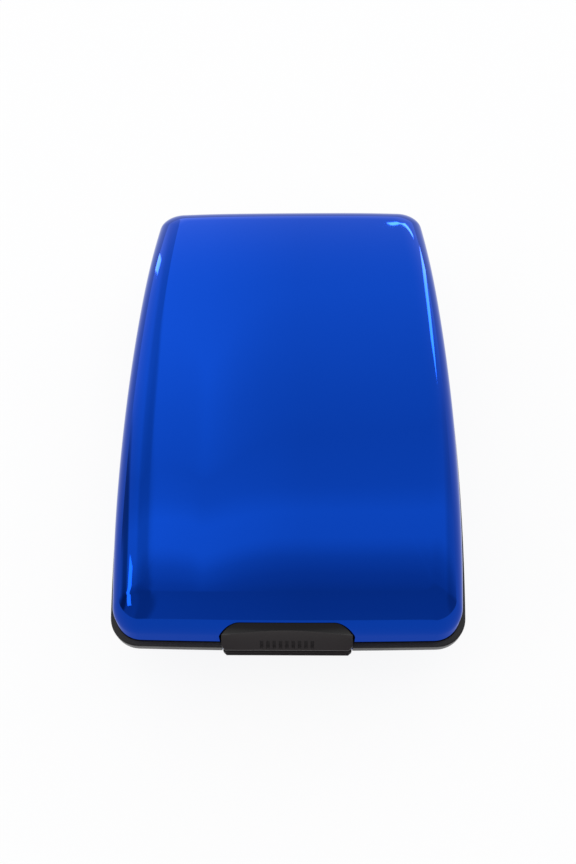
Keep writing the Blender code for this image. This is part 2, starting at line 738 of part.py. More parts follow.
def build_latch(lid, side):
    """Moulded latch lever: front plate, hub on the pin and a barb that hooks under the catch."""
    plate = flipped(prism_x(latch_profile(), -NOTCH_HALF, NOTCH_HALF), side)
    latch = place(f"{lid}_latch", make_mesh(f"{lid}_latch", plate), BLACK_ABS, LATCH_PIVOTS[lid])
    face = prism_y(latch_face(), -CASE_LENGTH, 0)
    combine(latch, "INTERSECT", helper(f"{lid}_latch_face", flipped(face, side)))
    hub_x = LATCH_HALF - LATCH_SIDE_GAP
    hub = rod_x(-hub_x, hub_x, LATCH_PIVOT_Y, LATCH_PIVOT_HEIGHT, LATCH_HUB_RADIUS, ROUND_SIDES)
    barb_x = CATCH_WIDTH / 2 - BARB_SIDE_PLAY
    barb_top = CATCH_UNDERSIDE - CLEARANCE
    barb = block(
        (-barb_x, LATCH_BACK_Y - CLEARANCE, barb_top - BARB_HEIGHT),
        (barb_x, RECESS_FACE_Y + CATCH_GROOVE_DEPTH - CLEARANCE, barb_top),
    )
    combine(
        latch,
        "UNION",
        helper(f"{lid}_latch_hub", flipped(hub, side)),
        helper(f"{lid}_latch_barb", flipped(barb, side)),
    )
    bore = rod_x(
        -NOTCH_HALF, NOTCH_HALF, LATCH_PIVOT_Y, LATCH_PIVOT_HEIGHT, LATCH_PIN_RADIUS + CLEARANCE, ROUND_SIDES
    )
    room_x = SPRING_LENGTH / 2 + SPRING_WIRE_RADIUS + CLEARANCE
    room = rod_x(-room_x, room_x, LATCH_PIVOT_Y, LATCH_PIVOT_HEIGHT, SPRING_ROOM, ROUND_SIDES)
    combine(
        latch,
        "DIFFERENCE",
        helper(f"{lid}_latch_bore", flipped(bore, side)),
        helper(f"{lid}_latch_spring_room", flipped(room, side)),
    )


def build_pin(name, half_x, y, z, radius, carrier):
    place(name, make_mesh(name, rod_x(-half_x, half_x, y, z, radius, PIN_SIDES)), BRIGHT_STEEL, carrier)


def build_spring(name, y, z, side, carrier):
    """Torsion spring round a pin along X, with a short straight leg at each end."""
    turn = 2 * math.pi * SPRING_TURNS
    count = round(SPRING_TURNS * SPRING_POINTS_PER_TURN)
    coil = []
    for i in range(count + 1):
        angle = turn * i / count
        x = SPRING_LENGTH * (i / count - 1 / 2)
        coil.append(Vector((x, y + SPRING_RADIUS * math.cos(angle), z + SPRING_RADIUS * math.sin(angle))))
    down = Vector((0, 0, -SPRING_LEG))
    points = [coil[0] + down] + coil + [coil[-1] + down]
    curve = bpy.data.curves.new(name, "CURVE")
    curve.dimensions = "3D"
    curve.bevel_depth = SPRING_WIRE_RADIUS
    curve.bevel_resolution = 1
    curve.use_fill_caps = True
    spline = curve.splines.new("POLY")
    spline.points.add(len(points) - 1)
    for point, place_at in zip(spline.points, points):
        point.co = (place_at.x, place_at.y, side * place_at.z, 1)
    curve.materials.append(new_material(name, *BRIGHT_STEEL))
    spring = bpy.data.objects.new(name, curve)
    PARTS.objects.link(spring)
    carry(spring, carrier)


def rounded_rectangle(half_x, half_y, radius):
    outline = arc((half_x - radius, half_y - radius), radius, 0, 90, CORNER_STEPS)
    outline += arc((radius - half_x, half_y - radius), radius, 90, 180, CORNER_STEPS)
    outline += arc((radius - half_x, radius - half_y), radius, 180, 270, CORNER_STEPS)
    outline += arc((half_x - radius, radius - half_y), radius, 270, 360, CORNER_STEPS)
    return outline


def leaf_z(number):
    """Height of the middle of a leaf; leaf 1 lies against the frame."""
    return FIRST_LEAF_Z - (number - 1) * LEAF_PITCH


def build_leaf(number, carrier):
    """Thin polypropylene leaf with a thumb cut at its mouth."""
    name = f"card_leaf_{number}"
    z = leaf_z(number)
    half = LEAF_THICKNESS / 2
    outline = rounded_rectangle(LEAF_WIDTH / 2, LEAF_LENGTH / 2, LEAF_CORNER)
    leaf = place(name, make_mesh(name, prism_z(outline, z - half, z + half)), SMOKE_FILM, carrier)
    if number == 1:
        return
    cut_y = -LEAF_LENGTH / 2 + THUMB_CUT_DEPTH - THUMB_CUT_RADIUS
    cut = rod_z(0, cut_y, z - half - CUT_OVERRUN, z + half + CUT_OVERRUN, THUMB_CUT_RADIUS, ROUND_SIDES)
    combine(leaf, "DIFFERENCE", helper(f"{name}_thumb_cut", cut))


def comb_profile(edge, depth):
    """Section of a folded gusset: a wall along the leaves' edges with a fold between each two.

    Points are (distance from the case's middle, z). The folds reach depth inwards.
    """
    film = GUSSET_FILM / 2
    outer = edge + CLEARANCE + GUSSET_FILM
    inner = edge + CLEARANCE
    profile = [(outer, LAST_LEAF_Z - film), (outer, FIRST_LEAF_Z + film), (inner, FIRST_LEAF_Z + film)]
    for number in range(1, LEAF_COUNT):
        fold_z = leaf_z(number) - LEAF_PITCH / 2
        profile += [(inner, fold_z + film), (edge - depth, fold_z + film)]
        profile += [(edge - depth, fold_z - film), (inner, fold_z - film)]
    profile.append((inner, LAST_LEAF_Z - film))
    return profile


def build_gussets():
    """Folded film at both sides and at the rear, which holds the fan of leaves together."""
    half_length = LEAF_LENGTH / 2 - LEAF_CORNER
    mouth = comb_profile(LEAF_WIDTH / 2, GUSSET_MOUTH_DEPTH)
    rear = comb_profile(LEAF_WIDTH / 2, GUSSET_REAR_DEPTH)
    ends = ((mouth, -half_length), (rear, half_length))
    for name, way in (("gusset_left", -1), ("gusset_right", 1)):
        rings = [[(way * x, y, z) for x, z in profile] for profile, y in ends]
        place(name, make_mesh(name, solid_loft(rings)), SMOKE_FILM)
    half_width = LEAF_WIDTH / 2 - GUSSET_REAR_DEPTH - SPINE_CORNER_GAP
    spine = prism_x(comb_profile(LEAF_LENGTH / 2, GUSSET_REAR_DEPTH), -half_width, half_width)
    place("gusset_rear", make_mesh("gusset_rear", spine), SMOKE_FILM)


def sheet_profile(points, thickness):
    """Closed (y, z) profile of a bent sheet from the points of its middle line."""
    upper, lower = [], []
    for i, (y, z) in enumerate(points):
        before = points[max(i - 1, 0)]
        after = points[min(i + 1, len(points) - 1)]
        run = Vector((after[0] - before[0], after[1] - before[1])).normalized()
        upper.append((y - run.y * thickness / 2, z + run.x * thickness / 2))
        lower.append((y + run.y * thickness / 2, z - run.x * thickness / 2))
    return upper + list(reversed(lower))


def build_note_clip():
    """Sprung clip for folded notes: a riveted base, an arm on a pin and its spring."""
    front_y = CLIP_PIN_Y - CLIP_BASE_FRONT
    back_y = front_y + CLIP_BASE_LENGTH
    half_base = CLIP_BASE_WIDTH / 2
    plate = block((-half_base, front_y, CLIP_BASE_BOTTOM), (half_base, back_y, CLIP_BASE_TOP))
    base = place("clip_base", make_mesh("clip_base", plate), BRIGHT_STEEL)
    ear_inner = SPRING_LENGTH / 2 + SPRING_WIRE_RADIUS + CLEARANCE
    ear_outer = ear_inner + CLIP_EAR_WIDTH
    ear_y = CLIP_BARREL_RADIUS * math.cos(math.pi / 4)
    for way in (-1, 1):
        low, high = sorted((way * ear_inner, way * ear_outer))
        ear_foot = block(
            (low, CLIP_PIN_Y - ear_y, CLIP_BASE_TOP - CLIP_BASE_SHEET / 2),
            (high, CLIP_PIN_Y + ear_y, CLIP_PIN_Z),
        )
        ear_round = rod_x(low, high, CLIP_PIN_Y, CLIP_PIN_Z, CLIP_BARREL_RADIUS, ROUND_SIDES)
        foot = helper(f"clip_ear_foot_{way}", ear_foot)
        combine(base, "UNION", foot, helper(f"clip_ear_{way}", ear_round))
    pin_bore = CLIP_PIN_RADIUS + CLEARANCE
    half_clip = CLIP_WIDTH / 2
    bore_reach = half_clip + CUT_OVERRUN
    base_bore = rod_x(-bore_reach, bore_reach, CLIP_PIN_Y, CLIP_PIN_Z, pin_bore, ROUND_SIDES)
    combine(base, "DIFFERENCE", helper("clip_base_bore", base_bore))
    shank = RIVET_SHANK_RADIUS
    low_z, high_z = CLIP_BASE_BOTTOM - CUT_OVERRUN, CLIP_BASE_TOP + CUT_OVERRUN
    for i, (x, y) in enumerate(rivet_places()):
        hole = rod_z(x, y, low_z, high_z, shank + CLEARANCE, PIN_SIDES)
        combine(base, "DIFFERENCE", helper(f"clip_base_rivet_hole_{i}", hole))

    middle = CLIP_SHEET / 2
    rest_z = DIVIDER_THICKNESS / 2 + CLEARANCE + middle
    tip_y = CLIP_PIN_Y - CLIP_LENGTH
    bend_y = tip_y + CLIP_TIP_LENGTH
    root = (front_y - CLEARANCE - CLIP_SHEET, CLIP_BASE_TOP)
    line = [
        (CLIP_PIN_Y - CLIP_BARREL_RADIUS + CLIP_SHEET, CLIP_PIN_Z - middle),
        root,
        (bend_y + CLIP_TIP_LENGTH, rest_z + middle),
        (bend_y, rest_z),
        ((bend_y + tip_y) / 2, rest_z + CLIP_TIP_RISE / 4),
        (tip_y, rest_z + CLIP_TIP_RISE),
    ]
    tongue = prism_x(sheet_profile(line, CLIP_SHEET), -half_clip, half_clip)
    arm = place("clip_arm", make_mesh("clip_arm", tongue), BRIGHT_STEEL, CLIP_PIVOT)
    gap_x = ear_outer + CLEARANCE
    room_front_y = CLIP_PIN_Y - SPRING_ROOM
    room_top = CLIP_PIN_Z + SPRING_ROOM
    barrel = rod_x(-half_clip, half_clip, CLIP_PIN_Y, CLIP_PIN_Z, CLIP_BARREL_RADIUS, ROUND_SIDES)
    combine(arm, "UNION", helper("arm_barrel", barrel))
    combine(
        arm,
        "DIFFERENCE",
        helper("arm_middle_gap", block((-gap_x, room_front_y, 0), (gap_x, back_y, room_top))),
        helper("arm_bore", rod_x(-bore_reach, bore_reach, CLIP_PIN_Y, CLIP_PIN_Z, pin_bore, ROUND_SIDES)),
    )
    build_pin("clip_pin", half_clip, CLIP_PIN_Y, CLIP_PIN_Z, CLIP_PIN_RADIUS, FRAME_MIDDLE)
    build_spring("clip_spring", CLIP_PIN_Y, CLIP_PIN_Z, 1, FRAME_MIDDLE)
    build_rivets()


def build_rivets():
    """Two rivets that hold the clip's base to the divider, each head and shank turned in one."""
    head_z = CLIP_BASE_TOP + CLEARANCE
    top_z = head_z + RIVET_HEAD_HEIGHT
    foot_z = -DIVIDER_THICKNESS / 2
    profile = [
        (0, top_z),
        (RIVET_HEAD_RADIUS / 2, top_z),
        (RIVET_HEAD_RADIUS, head_z + RIVET_HEAD_HEIGHT / 3),
        (RIVET_HEAD_RADIUS, head_z),
        (RIVET_SHANK_RADIUS, head_z),
        (RIVET_SHANK_RADIUS, foot_z),
        (0, foot_z),
    ]
    for side, (x, y) in zip(("left", "right"), rivet_places()):
        bm = bmesh.new()
        points = [bm.verts.new((x + r, y, z)) for r, z in profile]
        edges = [bm.edges.new(pair) for pair in zip(points, points[1:])]
        bmesh.ops.spin(
            bm,
            geom=points + edges,
            cent=(x, y, 0),
            axis=(0, 0, 1),
            angle=2 * math.pi,
            steps=PIN_SIDES,
            use_merge=True,
        )
        bmesh.ops.remove_doubles(bm, verts=bm.verts, dist=CLEARANCE / 100)
        bmesh.ops.recalc_face_normals(bm, faces=bm.faces)
        place(f"clip_rivet_{side}", make_mesh(f"clip_rivet_{side}", bm), BRIGHT_STEEL)


def build_lid(lid, side):
    build_cover(lid, side)
    build_liner(lid, side)
    build_latch(lid, side)
    pin_half = NOTCH_HALF + HOUSING_CHEEK - CLEARANCE
    pin_z = side * LATCH_PIVOT_HEIGHT
    build_pin(f"{lid}_latch_pin", pin_half, LATCH_PIVOT_Y, pin_z, LATCH_PIN_RADIUS, LID_HINGES[lid])
    build_spring(f"{lid}_latch_spring", LATCH_PIVOT_Y, LATCH_PIVOT_HEIGHT, side, LID_HINGES[lid])


def build_leaves():
    """The fan: leaf 1 is fixed to the frame, and each further leaf is carried by the one before."""
    carrier = FRAME_MIDDLE
    for number in range(1, LEAF_COUNT + 1):
        if number > 1:
            carrier = axis_empty(f"leaf_{number}_fold", HINGE_Y, 0, carrier)
        build_leaf(number, carrier)


build_mid_frame()
build_pin("hinge_pin", HINGE_HALF, HINGE_Y, 0, HINGE_PIN_RADIUS, FRAME_MIDDLE)
build_lid("cash", 1)
build_lid("card", -1)
build_note_clip()
build_leaves()
build_gussets()
FRAME_MIDDLE.location.z = CASE_THICKNESS / 2
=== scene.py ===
# %% [markdown]
# # A two-sided pocket case
# The case has two blue anodised covers on a black moulded frame. Each cover turns on one pin at
# the far end and is held by a black latch at the near end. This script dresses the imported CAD
# model: it builds finer covers, latches, frame and folded film over it, gives every piece its
# material, and sets up the camera, the floor and the lights. Everything is in metres, +Z up, and
# the near end with the latches is at -Y.

# %% Load the frame
import math

import bmesh
import bpy
from mathutils import Matrix, Vector


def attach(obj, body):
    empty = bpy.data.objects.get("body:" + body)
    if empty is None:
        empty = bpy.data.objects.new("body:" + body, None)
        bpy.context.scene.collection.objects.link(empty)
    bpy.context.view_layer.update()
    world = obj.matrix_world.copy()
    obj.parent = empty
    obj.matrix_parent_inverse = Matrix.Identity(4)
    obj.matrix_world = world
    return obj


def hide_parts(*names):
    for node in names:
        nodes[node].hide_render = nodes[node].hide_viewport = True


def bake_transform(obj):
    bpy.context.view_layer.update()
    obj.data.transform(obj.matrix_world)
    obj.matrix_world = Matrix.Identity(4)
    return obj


MM = 0.001
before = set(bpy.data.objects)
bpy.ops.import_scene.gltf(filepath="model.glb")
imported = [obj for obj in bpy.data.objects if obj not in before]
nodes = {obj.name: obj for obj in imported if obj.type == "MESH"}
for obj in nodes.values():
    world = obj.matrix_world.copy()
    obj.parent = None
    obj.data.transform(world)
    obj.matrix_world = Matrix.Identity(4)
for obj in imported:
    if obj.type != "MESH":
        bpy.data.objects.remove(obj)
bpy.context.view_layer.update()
scene = bpy.context.scene
scene.view_settings.view_transform = "Standard"

# %% [markdown]
# ## The camera
# The photograph looks down on the near end from close by. A pinhole camera was fitted to the
# outline of the case, which gives its place, its three angles and its focal length in pixels.
# Blender takes a lens in millimetres, so the focal length is scaled from the height of the image.

# %% Place the camera
IMAGE_HEIGHT_PX = 864
FOCAL_LENGTH_PX = 760
SENSOR_HEIGHT_MM = 36
CAMERA_PLACE = Vector((0.0028, -0.08942, 0.15411))
CAMERA_PITCH = math.radians(59.77)
CAMERA_YAW = math.radians(-2.1)
CAMERA_ROLL = math.radians(-1.9)


def camera_matrix():
    """Looks down by the pitch, turned by the yaw about Z, then rolled about its own axis."""
    forward = Vector((
        math.sin(CAMERA_YAW) * math.cos(CAMERA_PITCH),
        math.cos(CAMERA_YAW) * math.cos(CAMERA_PITCH),
        -math.sin(CAMERA_PITCH),
    ))
    level = forward.cross(Vector((0, 0, 1))).normalized()
    steep = level.cross(forward)
    right = level * math.cos(CAMERA_ROLL) + steep * math.sin(CAMERA_ROLL)
    up = steep * math.cos(CAMERA_ROLL) - level * math.sin(CAMERA_ROLL)
    matrix = Matrix((right, up, -forward)).transposed().to_4x4()
    matrix.translation = CAMERA_PLACE
    return matrix


lens = bpy.data.cameras.new("camera")
lens.sensor_fit = "VERTICAL"
lens.sensor_height = SENSOR_HEIGHT_MM
lens.lens = FOCAL_LENGTH_PX * SENSOR_HEIGHT_MM / IMAGE_HEIGHT_PX
lens.clip_start = 0.01
camera = bpy.data.objects.new("camera", lens)
camera.matrix_world = camera_matrix()
scene.collection.objects.link(camera)
scene.camera = camera
print("lens, mm:", round(lens.lens, 1))

# %% [markdown]
# ## Helpers for materials
# A material is a small network of nodes. One function adds a node, sets its properties and fills
# its inputs, either with a value or with a link from another node's output. Colours are written
# as the eye sees them, in sRGB hex, and turned to the linear values that the renderer works in.

# %% Colour and node helpers
def linear(hex_colour):
    """A colour such as "2A52BE" as linear red, green and blue, with an alpha of one."""
    values = []
    for start in (0, 2, 4):
        value = int(hex_colour[start:start + 2], 16) / 255
        values.append(value / 12.92 if value <= 0.04045 else ((value + 0.055) / 1.055) ** 2.4)
    return (*values, 1)


def fill(tree, node, inputs):
    """Fills inputs with values, or links them to a socket or to a node's first output."""
    for name, value in inputs.items():
        if isinstance(value, bpy.types.Node):
            value = value.outputs[0]
        if isinstance(value, bpy.types.NodeSocket):
            tree.links.new(value, node.inputs[name])
        else:
            node.inputs[name].default_value = value


def add(tree, kind, inputs=None, **settings):
    """Adds a node, sets its properties and fills its inputs."""
    node = tree.nodes.new(kind)
    for name, value in settings.items():
        setattr(node, name, value)
    fill(tree, node, inputs or {})
    return node


def start_material(name):
    """A new material, its tree, its shader, and the place of each point of its piece in metres."""
    material = bpy.data.materials.new(name)
    material.use_nodes = True
    tree = material.node_tree
    shader = tree.nodes["Principled BSDF"]
    place = add(tree, "ShaderNodeTexCoord").outputs["Object"]
    return material, tree, shader, place


# A noise texture seldom leaves this range, so the range is spread over what the noise drives.
NOISE_RANGE = {"From Min": 0.3, "From Max": 0.7}
print("middle grey as a linear value:", round(linear("808080")[0], 3))

# %% [markdown]
# ## Bright anodised aluminium
# The covers are pressed from aluminium sheet, brightened in a chemical bath, anodised and dyed
# blue. The dye sits in the clear oxide, so the metal under it mirrors the room in blue. The
# oxide's own face adds a faint white reflection, which only a bright lamp makes visible. The
# pressed sheet isn't optically flat: a soft waviness, nearly two centimetres long, bends
# reflections a little, and handling leaves a haze that varies over the surface.

# %% Anodised aluminium
# The scale of a pattern is one over the size of its marks.
WAVE_SCALE = 1 / (17 * MM)
HAZE_SCALE = 1 / (9 * MM)
BLUE_DYE = linear("0539A2")


def anodised_aluminium():
    material, tree, shader, place = start_material("bright_blue_anodised_aluminium")
    haze = add(tree, "ShaderNodeTexNoise", {"Vector": place, "Scale": HAZE_SCALE, "Detail": 4.0})
    roughness = add(
        tree, "ShaderNodeMapRange", {"Value": haze, **NOISE_RANGE, "To Min": 0.03, "To Max": 0.065}
    )
    wave = add(tree, "ShaderNodeTexNoise", {"Vector": place, "Scale": WAVE_SCALE, "Detail": 0.5})
    bump = add(tree, "ShaderNodeBump", {"Height": wave, "Strength": 1.0, "Distance": 0.05 * MM})
    fill(tree, shader, {
        "Base Color": BLUE_DYE, "Metallic": 1, "Specular Tint": (0.75, 0.8, 1, 1),
        "Coat Weight": 0.03, "Coat Roughness": 0.05, "Roughness": roughness, "Normal": bump,
    })
    return material


BLUE_ALUMINIUM = anodised_aluminium()
print(BLUE_ALUMINIUM.name, "with linear dye", [round(value, 3) for value in BLUE_DYE[:3]])

# %% [markdown]
# ## Black ABS
# The frame and the liners are moulded in black ABS. The mould was spark eroded, so the plastic
# has a fine even grain that takes the shine off it. The real grain is too fine to show here, so
# it is drawn two or three times as coarse.

# %% Black ABS
GRAIN_SCALE = 1 / (0.28 * MM)


def black_abs():
    material, tree, shader, place = start_material("moulded_black_abs")
    grain = add(tree, "ShaderNodeTexNoise", {"Vector": place, "Scale": GRAIN_SCALE, "Detail": 2.0})
    bump = add(tree, "ShaderNodeBump", {"Height": grain, "Strength": 0.25, "Distance": 0.02 * MM})
    patches = add(tree, "ShaderNodeTexNoise", {"Vector": place, "Scale": HAZE_SCALE, "Detail": 3.0})
    roughness = add(
        tree, "ShaderNodeMapRange",
        {"Value": patches, **NOISE_RANGE, "To Min": 0.34, "To Max": 0.44},
    )
    fill(tree, shader, {
        "Base Color": linear("100D0E"), "IOR": 1.54, "Specular IOR Level": 0.32,
        "Roughness": roughness, "Normal": bump,
    })
    return material


BLACK_ABS = black_abs()
print(BLACK_ABS.name)

# %% [markdown]
# ## The form of the case
# Covers, liners and frame all follow one outline: nearly straight ends, sides that bow out a
# little, and round corners. A lid rises from its rim by a short drafted wall, rolls over, and then
# crowns very gently to a flat middle. The same numbers made the CAD solids. Here the outline has
# many more points, because a bright metal shows every facet.

# %% Sizes of the case, in metres
HALF_LENGTH = 53.5 * MM
HALF_WIDTH = 35.5 * MM
SIDE_BOW = 2.8 * MM
END_BOW = 0.5 * MM
CORNER_RADIUS = 5.9 * MM
MIDDLE_Z = 12.5 * MM
FRAME_TOP = 1.1 * MM
GAP = 0.3 * MM
RIM = FRAME_TOP + GAP
TOP = 12.5 * MM
BAND_LEDGE = 0.95 * MM
EDGE_ROLL = 6.5 * MM
WALL_HEIGHT = TOP - EDGE_ROLL - RIM
WALL_DRAFT = math.radians(3.4)
WALL_LEAN = WALL_HEIGHT * math.tan(WALL_DRAFT)
PANEL_HALF_LENGTH = 0.45 * HALF_LENGTH
PANEL_HALF_WIDTH = 0.4 * HALF_WIDTH
PANEL_CORNER = 9 * MM
CROWN_EASE = 4 * MM
SHEET = 0.8 * MM
print("wall height, mm:", round(WALL_HEIGHT / MM, 2))

# %% The outline in plan
SIDE_STEPS = 22
CORNER_STEPS = 14
END_STEPS = 12


def bowed_outline(half_x, half_y, side_curve, end_curve, radius):
    """Points round a bowed rectangle with round corners, anticlockwise from the middle of +X."""
    side_y = half_y - radius
    end_x = half_x - radius
    # A corner's place and the turn of the sides that it meets are found together, in rounds.
    for _ in range(12):
        side_turn = math.atan(2 * side_curve * side_y)
        end_turn = math.atan(2 * end_curve * end_x)
        centre_x = half_x - side_curve * side_y**2 - radius * math.cos(side_turn)
        centre_y = half_y - end_curve * end_x**2 - radius * math.cos(end_turn)
        side_y = centre_y + radius * math.sin(side_turn)
        end_x = centre_x + radius * math.sin(end_turn)
    quarter = []
    for step in range(SIDE_STEPS):
        y = side_y * step / SIDE_STEPS
        quarter.append((half_x - side_curve * y**2, y))
    for step in range(CORNER_STEPS + 1):
        angle = side_turn + (math.pi / 2 - end_turn - side_turn) * step / CORNER_STEPS
        quarter.append((centre_x + radius * math.cos(angle), centre_y + radius * math.sin(angle)))
    for step in range(1, END_STEPS):
        x = end_x * (1 - step / END_STEPS)
        quarter.append((x, half_y - end_curve * x**2))
    quarter.append((0, half_y))
    upper = quarter + [(-x, y) for x, y in reversed(quarter[:-1])]
    return upper + [(x, -y) for x, y in reversed(upper[1:-1])]


def case_outline(inset):
    """The outline of the case, set in all round. The corners tighten half as fast."""
    return bowed_outline(
        HALF_WIDTH - inset,
        HALF_LENGTH - inset,
        SIDE_BOW / HALF_LENGTH**2,
        END_BOW / HALF_WIDTH**2,
        CORNER_RADIUS - inset / 2,
    )


RING_POINTS = len(case_outline(0))
print("points round the outline:", RING_POINTS)

# %% The height of a lid
SIDE_FALL = 0.07
END_FALL = 0.36


def past_panel(distance, panel_half, half):
    """How far a point lies past the flat panel, 0 to 1, with an eased start."""
    over = abs(distance) - panel_half
    return (over + math.sqrt(over**2 + CROWN_EASE**2)) / 2 / (half - panel_half)


def height_left(x, y):
    """The share of the lid's height that the crown leaves at a point."""
    side = past_panel(x, PANEL_HALF_WIDTH, HALF_WIDTH)
    end = past_panel(y, PANEL_HALF_LENGTH, HALF_LENGTH)
    return 1 - SIDE_FALL * side**2 - END_FALL * end**2


def roll_point(x, y, angle):
    """Height of a point on the rolled edge, at an angle of the roll."""
    left = height_left(x, y)
    return RIM + WALL_HEIGHT * left + EDGE_ROLL * left * math.sin(angle)


def roll_inset(angle):
    """How far in from the outline the rolled edge lies, at an angle of the roll."""
    return BAND_LEDGE + WALL_LEAN + EDGE_ROLL * (1 - math.cos(angle))


def end_height(y):
    """Height of the cover's outside on the centre line of the near end, at a place along Y."""
    inset = y + HALF_LENGTH - BAND_LEDGE - WALL_LEAN
    angle = math.acos(max(0, min(1, 1 - inset / EDGE_ROLL)))
    return roll_point(0, y, angle)


def end_place(z):
    """The other way round: where along Y the near end has a height, found by halving."""
    outer, inner = BAND_LEDGE + WALL_LEAN - HALF_LENGTH, BAND_LEDGE + EDGE_ROLL - HALF_LENGTH
    for _ in range(30):
        middle = (outer + inner) / 2
        outer, inner = (middle, inner) if end_height(middle) < z else (outer, middle)
    return outer


LATCH_INSET = 2.5 * MM
LATCH_TOP = end_height(LATCH_INSET - HALF_LENGTH)
print("top of the latches, mm from the middle:", round(LATCH_TOP / MM, 2))

# %% [markdown]
# ## Tools for making shapes
# A ringed shape starts as a flat circle of points. The circle is laid on the first ring, its
# edges are extruded, the new ring is laid on the next one, and so on. Each point keeps its number
# as it is extruded, and the number says where it goes. Cutting and joining is left to Blender's
# exact boolean, worked out at once so that no live modifier stays behind.

# %% Ringed shapes
def only(kind, parts):
    """The parts of one kind, out of the mixed list that an operator gives back."""
    return [part for part in parts if isinstance(part, kind)]


def lay_next(bm, edges, points):
    """Extrudes a row of edges, and lays each new point on the place that its number picks."""
    number = bm.verts.layers.int["number"]
    edges = only(bmesh.types.BMEdge, bmesh.ops.extrude_edge_only(bm, edges=edges)["geom"])
    for vert in {vert for edge in edges for vert in edge.verts}:
        vert.co = points[vert[number]]
    return edges


def rings_to_bmesh(rings, close_first=False, close_last=False):
    """One skin over a stack of rings with equal point counts."""
    bm = bmesh.new()
    bmesh.ops.create_circle(bm, segments=len(rings[0]), radius=1)
    number = bm.verts.layers.int.new("number")
    bm.verts.ensure_lookup_table()
    for i, vert in enumerate(bm.verts):
        vert[number] = i
        vert.co = rings[0][i]
    edges = bm.edges[:]
    if close_first:
        bmesh.ops.contextual_create(bm, geom=edges)
    for ring in rings[1:]:
        edges = lay_next(bm, edges, ring)
    if close_last:
        bmesh.ops.contextual_create(bm, geom=edges)
    bmesh.ops.recalc_face_normals(bm, faces=bm.faces)
    return bm


def flat_ring(inset, z):
    return [(x, y, z) for x, y in case_outline(inset)]


trial = rings_to_bmesh([flat_ring(0, 0), flat_ring(0, MM)])
print("faces between two rings:", len(trial.faces))
trial.free()


# %% Blocks and rods
def round_edges(bm, edges, radius, segments, **settings):
    bmesh.ops.bevel(
        bm, geom=edges, offset=radius, segments=segments, profile=0.5, affect="EDGES",
        material=-1, **settings,
    )


def block(low, high, *rounds):
    """A box between two corners. Each round is (pick, radius, segments), and pick chooses the
    edges that it rounds by their middle point and their direction."""
    low, high = Vector(low), Vector(high)
    bm = bmesh.new()
    bmesh.ops.create_cube(bm, size=1)
    bmesh.ops.transform(bm, matrix=Matrix.Diagonal((*(high - low), 1)), verts=bm.verts)
    bmesh.ops.translate(bm, vec=(low + high) / 2, verts=bm.verts)
    for pick, radius, segments in rounds:
        chosen = []
        for edge in bm.edges:
            start, end = edge.verts[0].co, edge.verts[1].co
            if pick((start + end) / 2, (end - start).normalized()):
                chosen.append(edge)
        round_edges(bm, chosen, radius, segments)
    return bm


def rod(start, end, radius, sides=40, chamfer=0):
    """A round rod from one point to another, whose end edges may be broken by a chamfer."""
    start, end = Vector(start), Vector(end)
    bm = bmesh.new()
    bmesh.ops.create_cone(
        bm, cap_ends=True, segments=sides, radius1=radius, radius2=radius,
        depth=(end - start).length,
    )
    if chamfer:
        rims = [edge for edge in bm.edges if any(len(face.verts) > 4 for face in edge.link_faces)]
        round_edges(bm, rims, chamfer, 2)
    turn = Vector((0, 0, 1)).rotation_difference(end - start).to_matrix()
    bmesh.ops.rotate(bm, cent=(0, 0, 0), matrix=turn, verts=bm.verts)
    bmesh.ops.translate(bm, vec=(start + end) / 2, verts=bm.verts)
    return bm


trial = rod((0, 0, 0), (0, 0, MM), MM, 12)
print("faces of a rod with 12 sides:", len(trial.faces))
trial.free()


# %% Cutting and joining
WELD = 0.001 * MM


def make_object(name, bm):
    """Puts a shape into the scene as an object, and frees the bmesh."""
    mesh = bpy.data.meshes.new(name)
    bm.to_mesh(mesh)
    bm.free()
    shape = bpy.data.objects.new(name, mesh)
    scene.collection.objects.link(shape)
    return shape


def worked_out(target, *tools):
    """The shape that an object's modifiers make of it, after which the objects go."""
    result = bmesh.new()
    result.from_object(target, bpy.context.evaluated_depsgraph_get())
    for shape in (target, *tools):
        bpy.data.objects.remove(shape, do_unlink=True)
    return result


def carve(bm, *steps):
    """Works out a shape after a list of ("UNION" or "DIFFERENCE" or "INTERSECT", tool) steps."""
    target = make_object("carved_shape", bm)
    tools = []
    for operation, tool in steps:
        tools.append(make_object("carving_tool", tool))
        step = target.modifiers.new("carve", "BOOLEAN")
        step.operation = operation
        step.solver = "EXACT"
        step.object = tools[-1]
    result = worked_out(target, *tools)
    bmesh.ops.remove_doubles(result, verts=result.verts, dist=WELD)
    bmesh.ops.dissolve_degenerate(result, edges=result.edges, dist=WELD)
    return result


def walled(bm, thickness):
    """Gives a skin its wall, inwards from the skin."""
    target = make_object("skin", bm)
    wall = target.modifiers.new("wall", "SOLIDIFY")
    wall.thickness = thickness
    wall.offset = -1
    wall.use_even_offset = True
    return worked_out(target)


print("points this close are welded, mm:", WELD / MM)

# %% Soft edges and finished pieces
LIDS = ("cash", "card")


def soften(bm, width, segments=2, angle=35):
    """Rounds the sharp edges of a shape, as a mould or a press leaves them."""
    sharp = [
        edge for edge in bm.edges
        if len(edge.link_faces) == 2 and edge.calc_face_angle(0) > math.radians(angle)
    ]
    round_edges(bm, sharp, width, segments, clamp_overlap=True)
    return bm


def turned_over(bm, lid):
    """Shapes are made for the upper lid about the middle plane. The lower lid mirrors them."""
    if lid == "card":
        bmesh.ops.transform(bm, matrix=Matrix.Diagonal((1, 1, -1, 1)), verts=bm.verts)
        bmesh.ops.reverse_faces(bm, faces=bm.faces)
    return bm


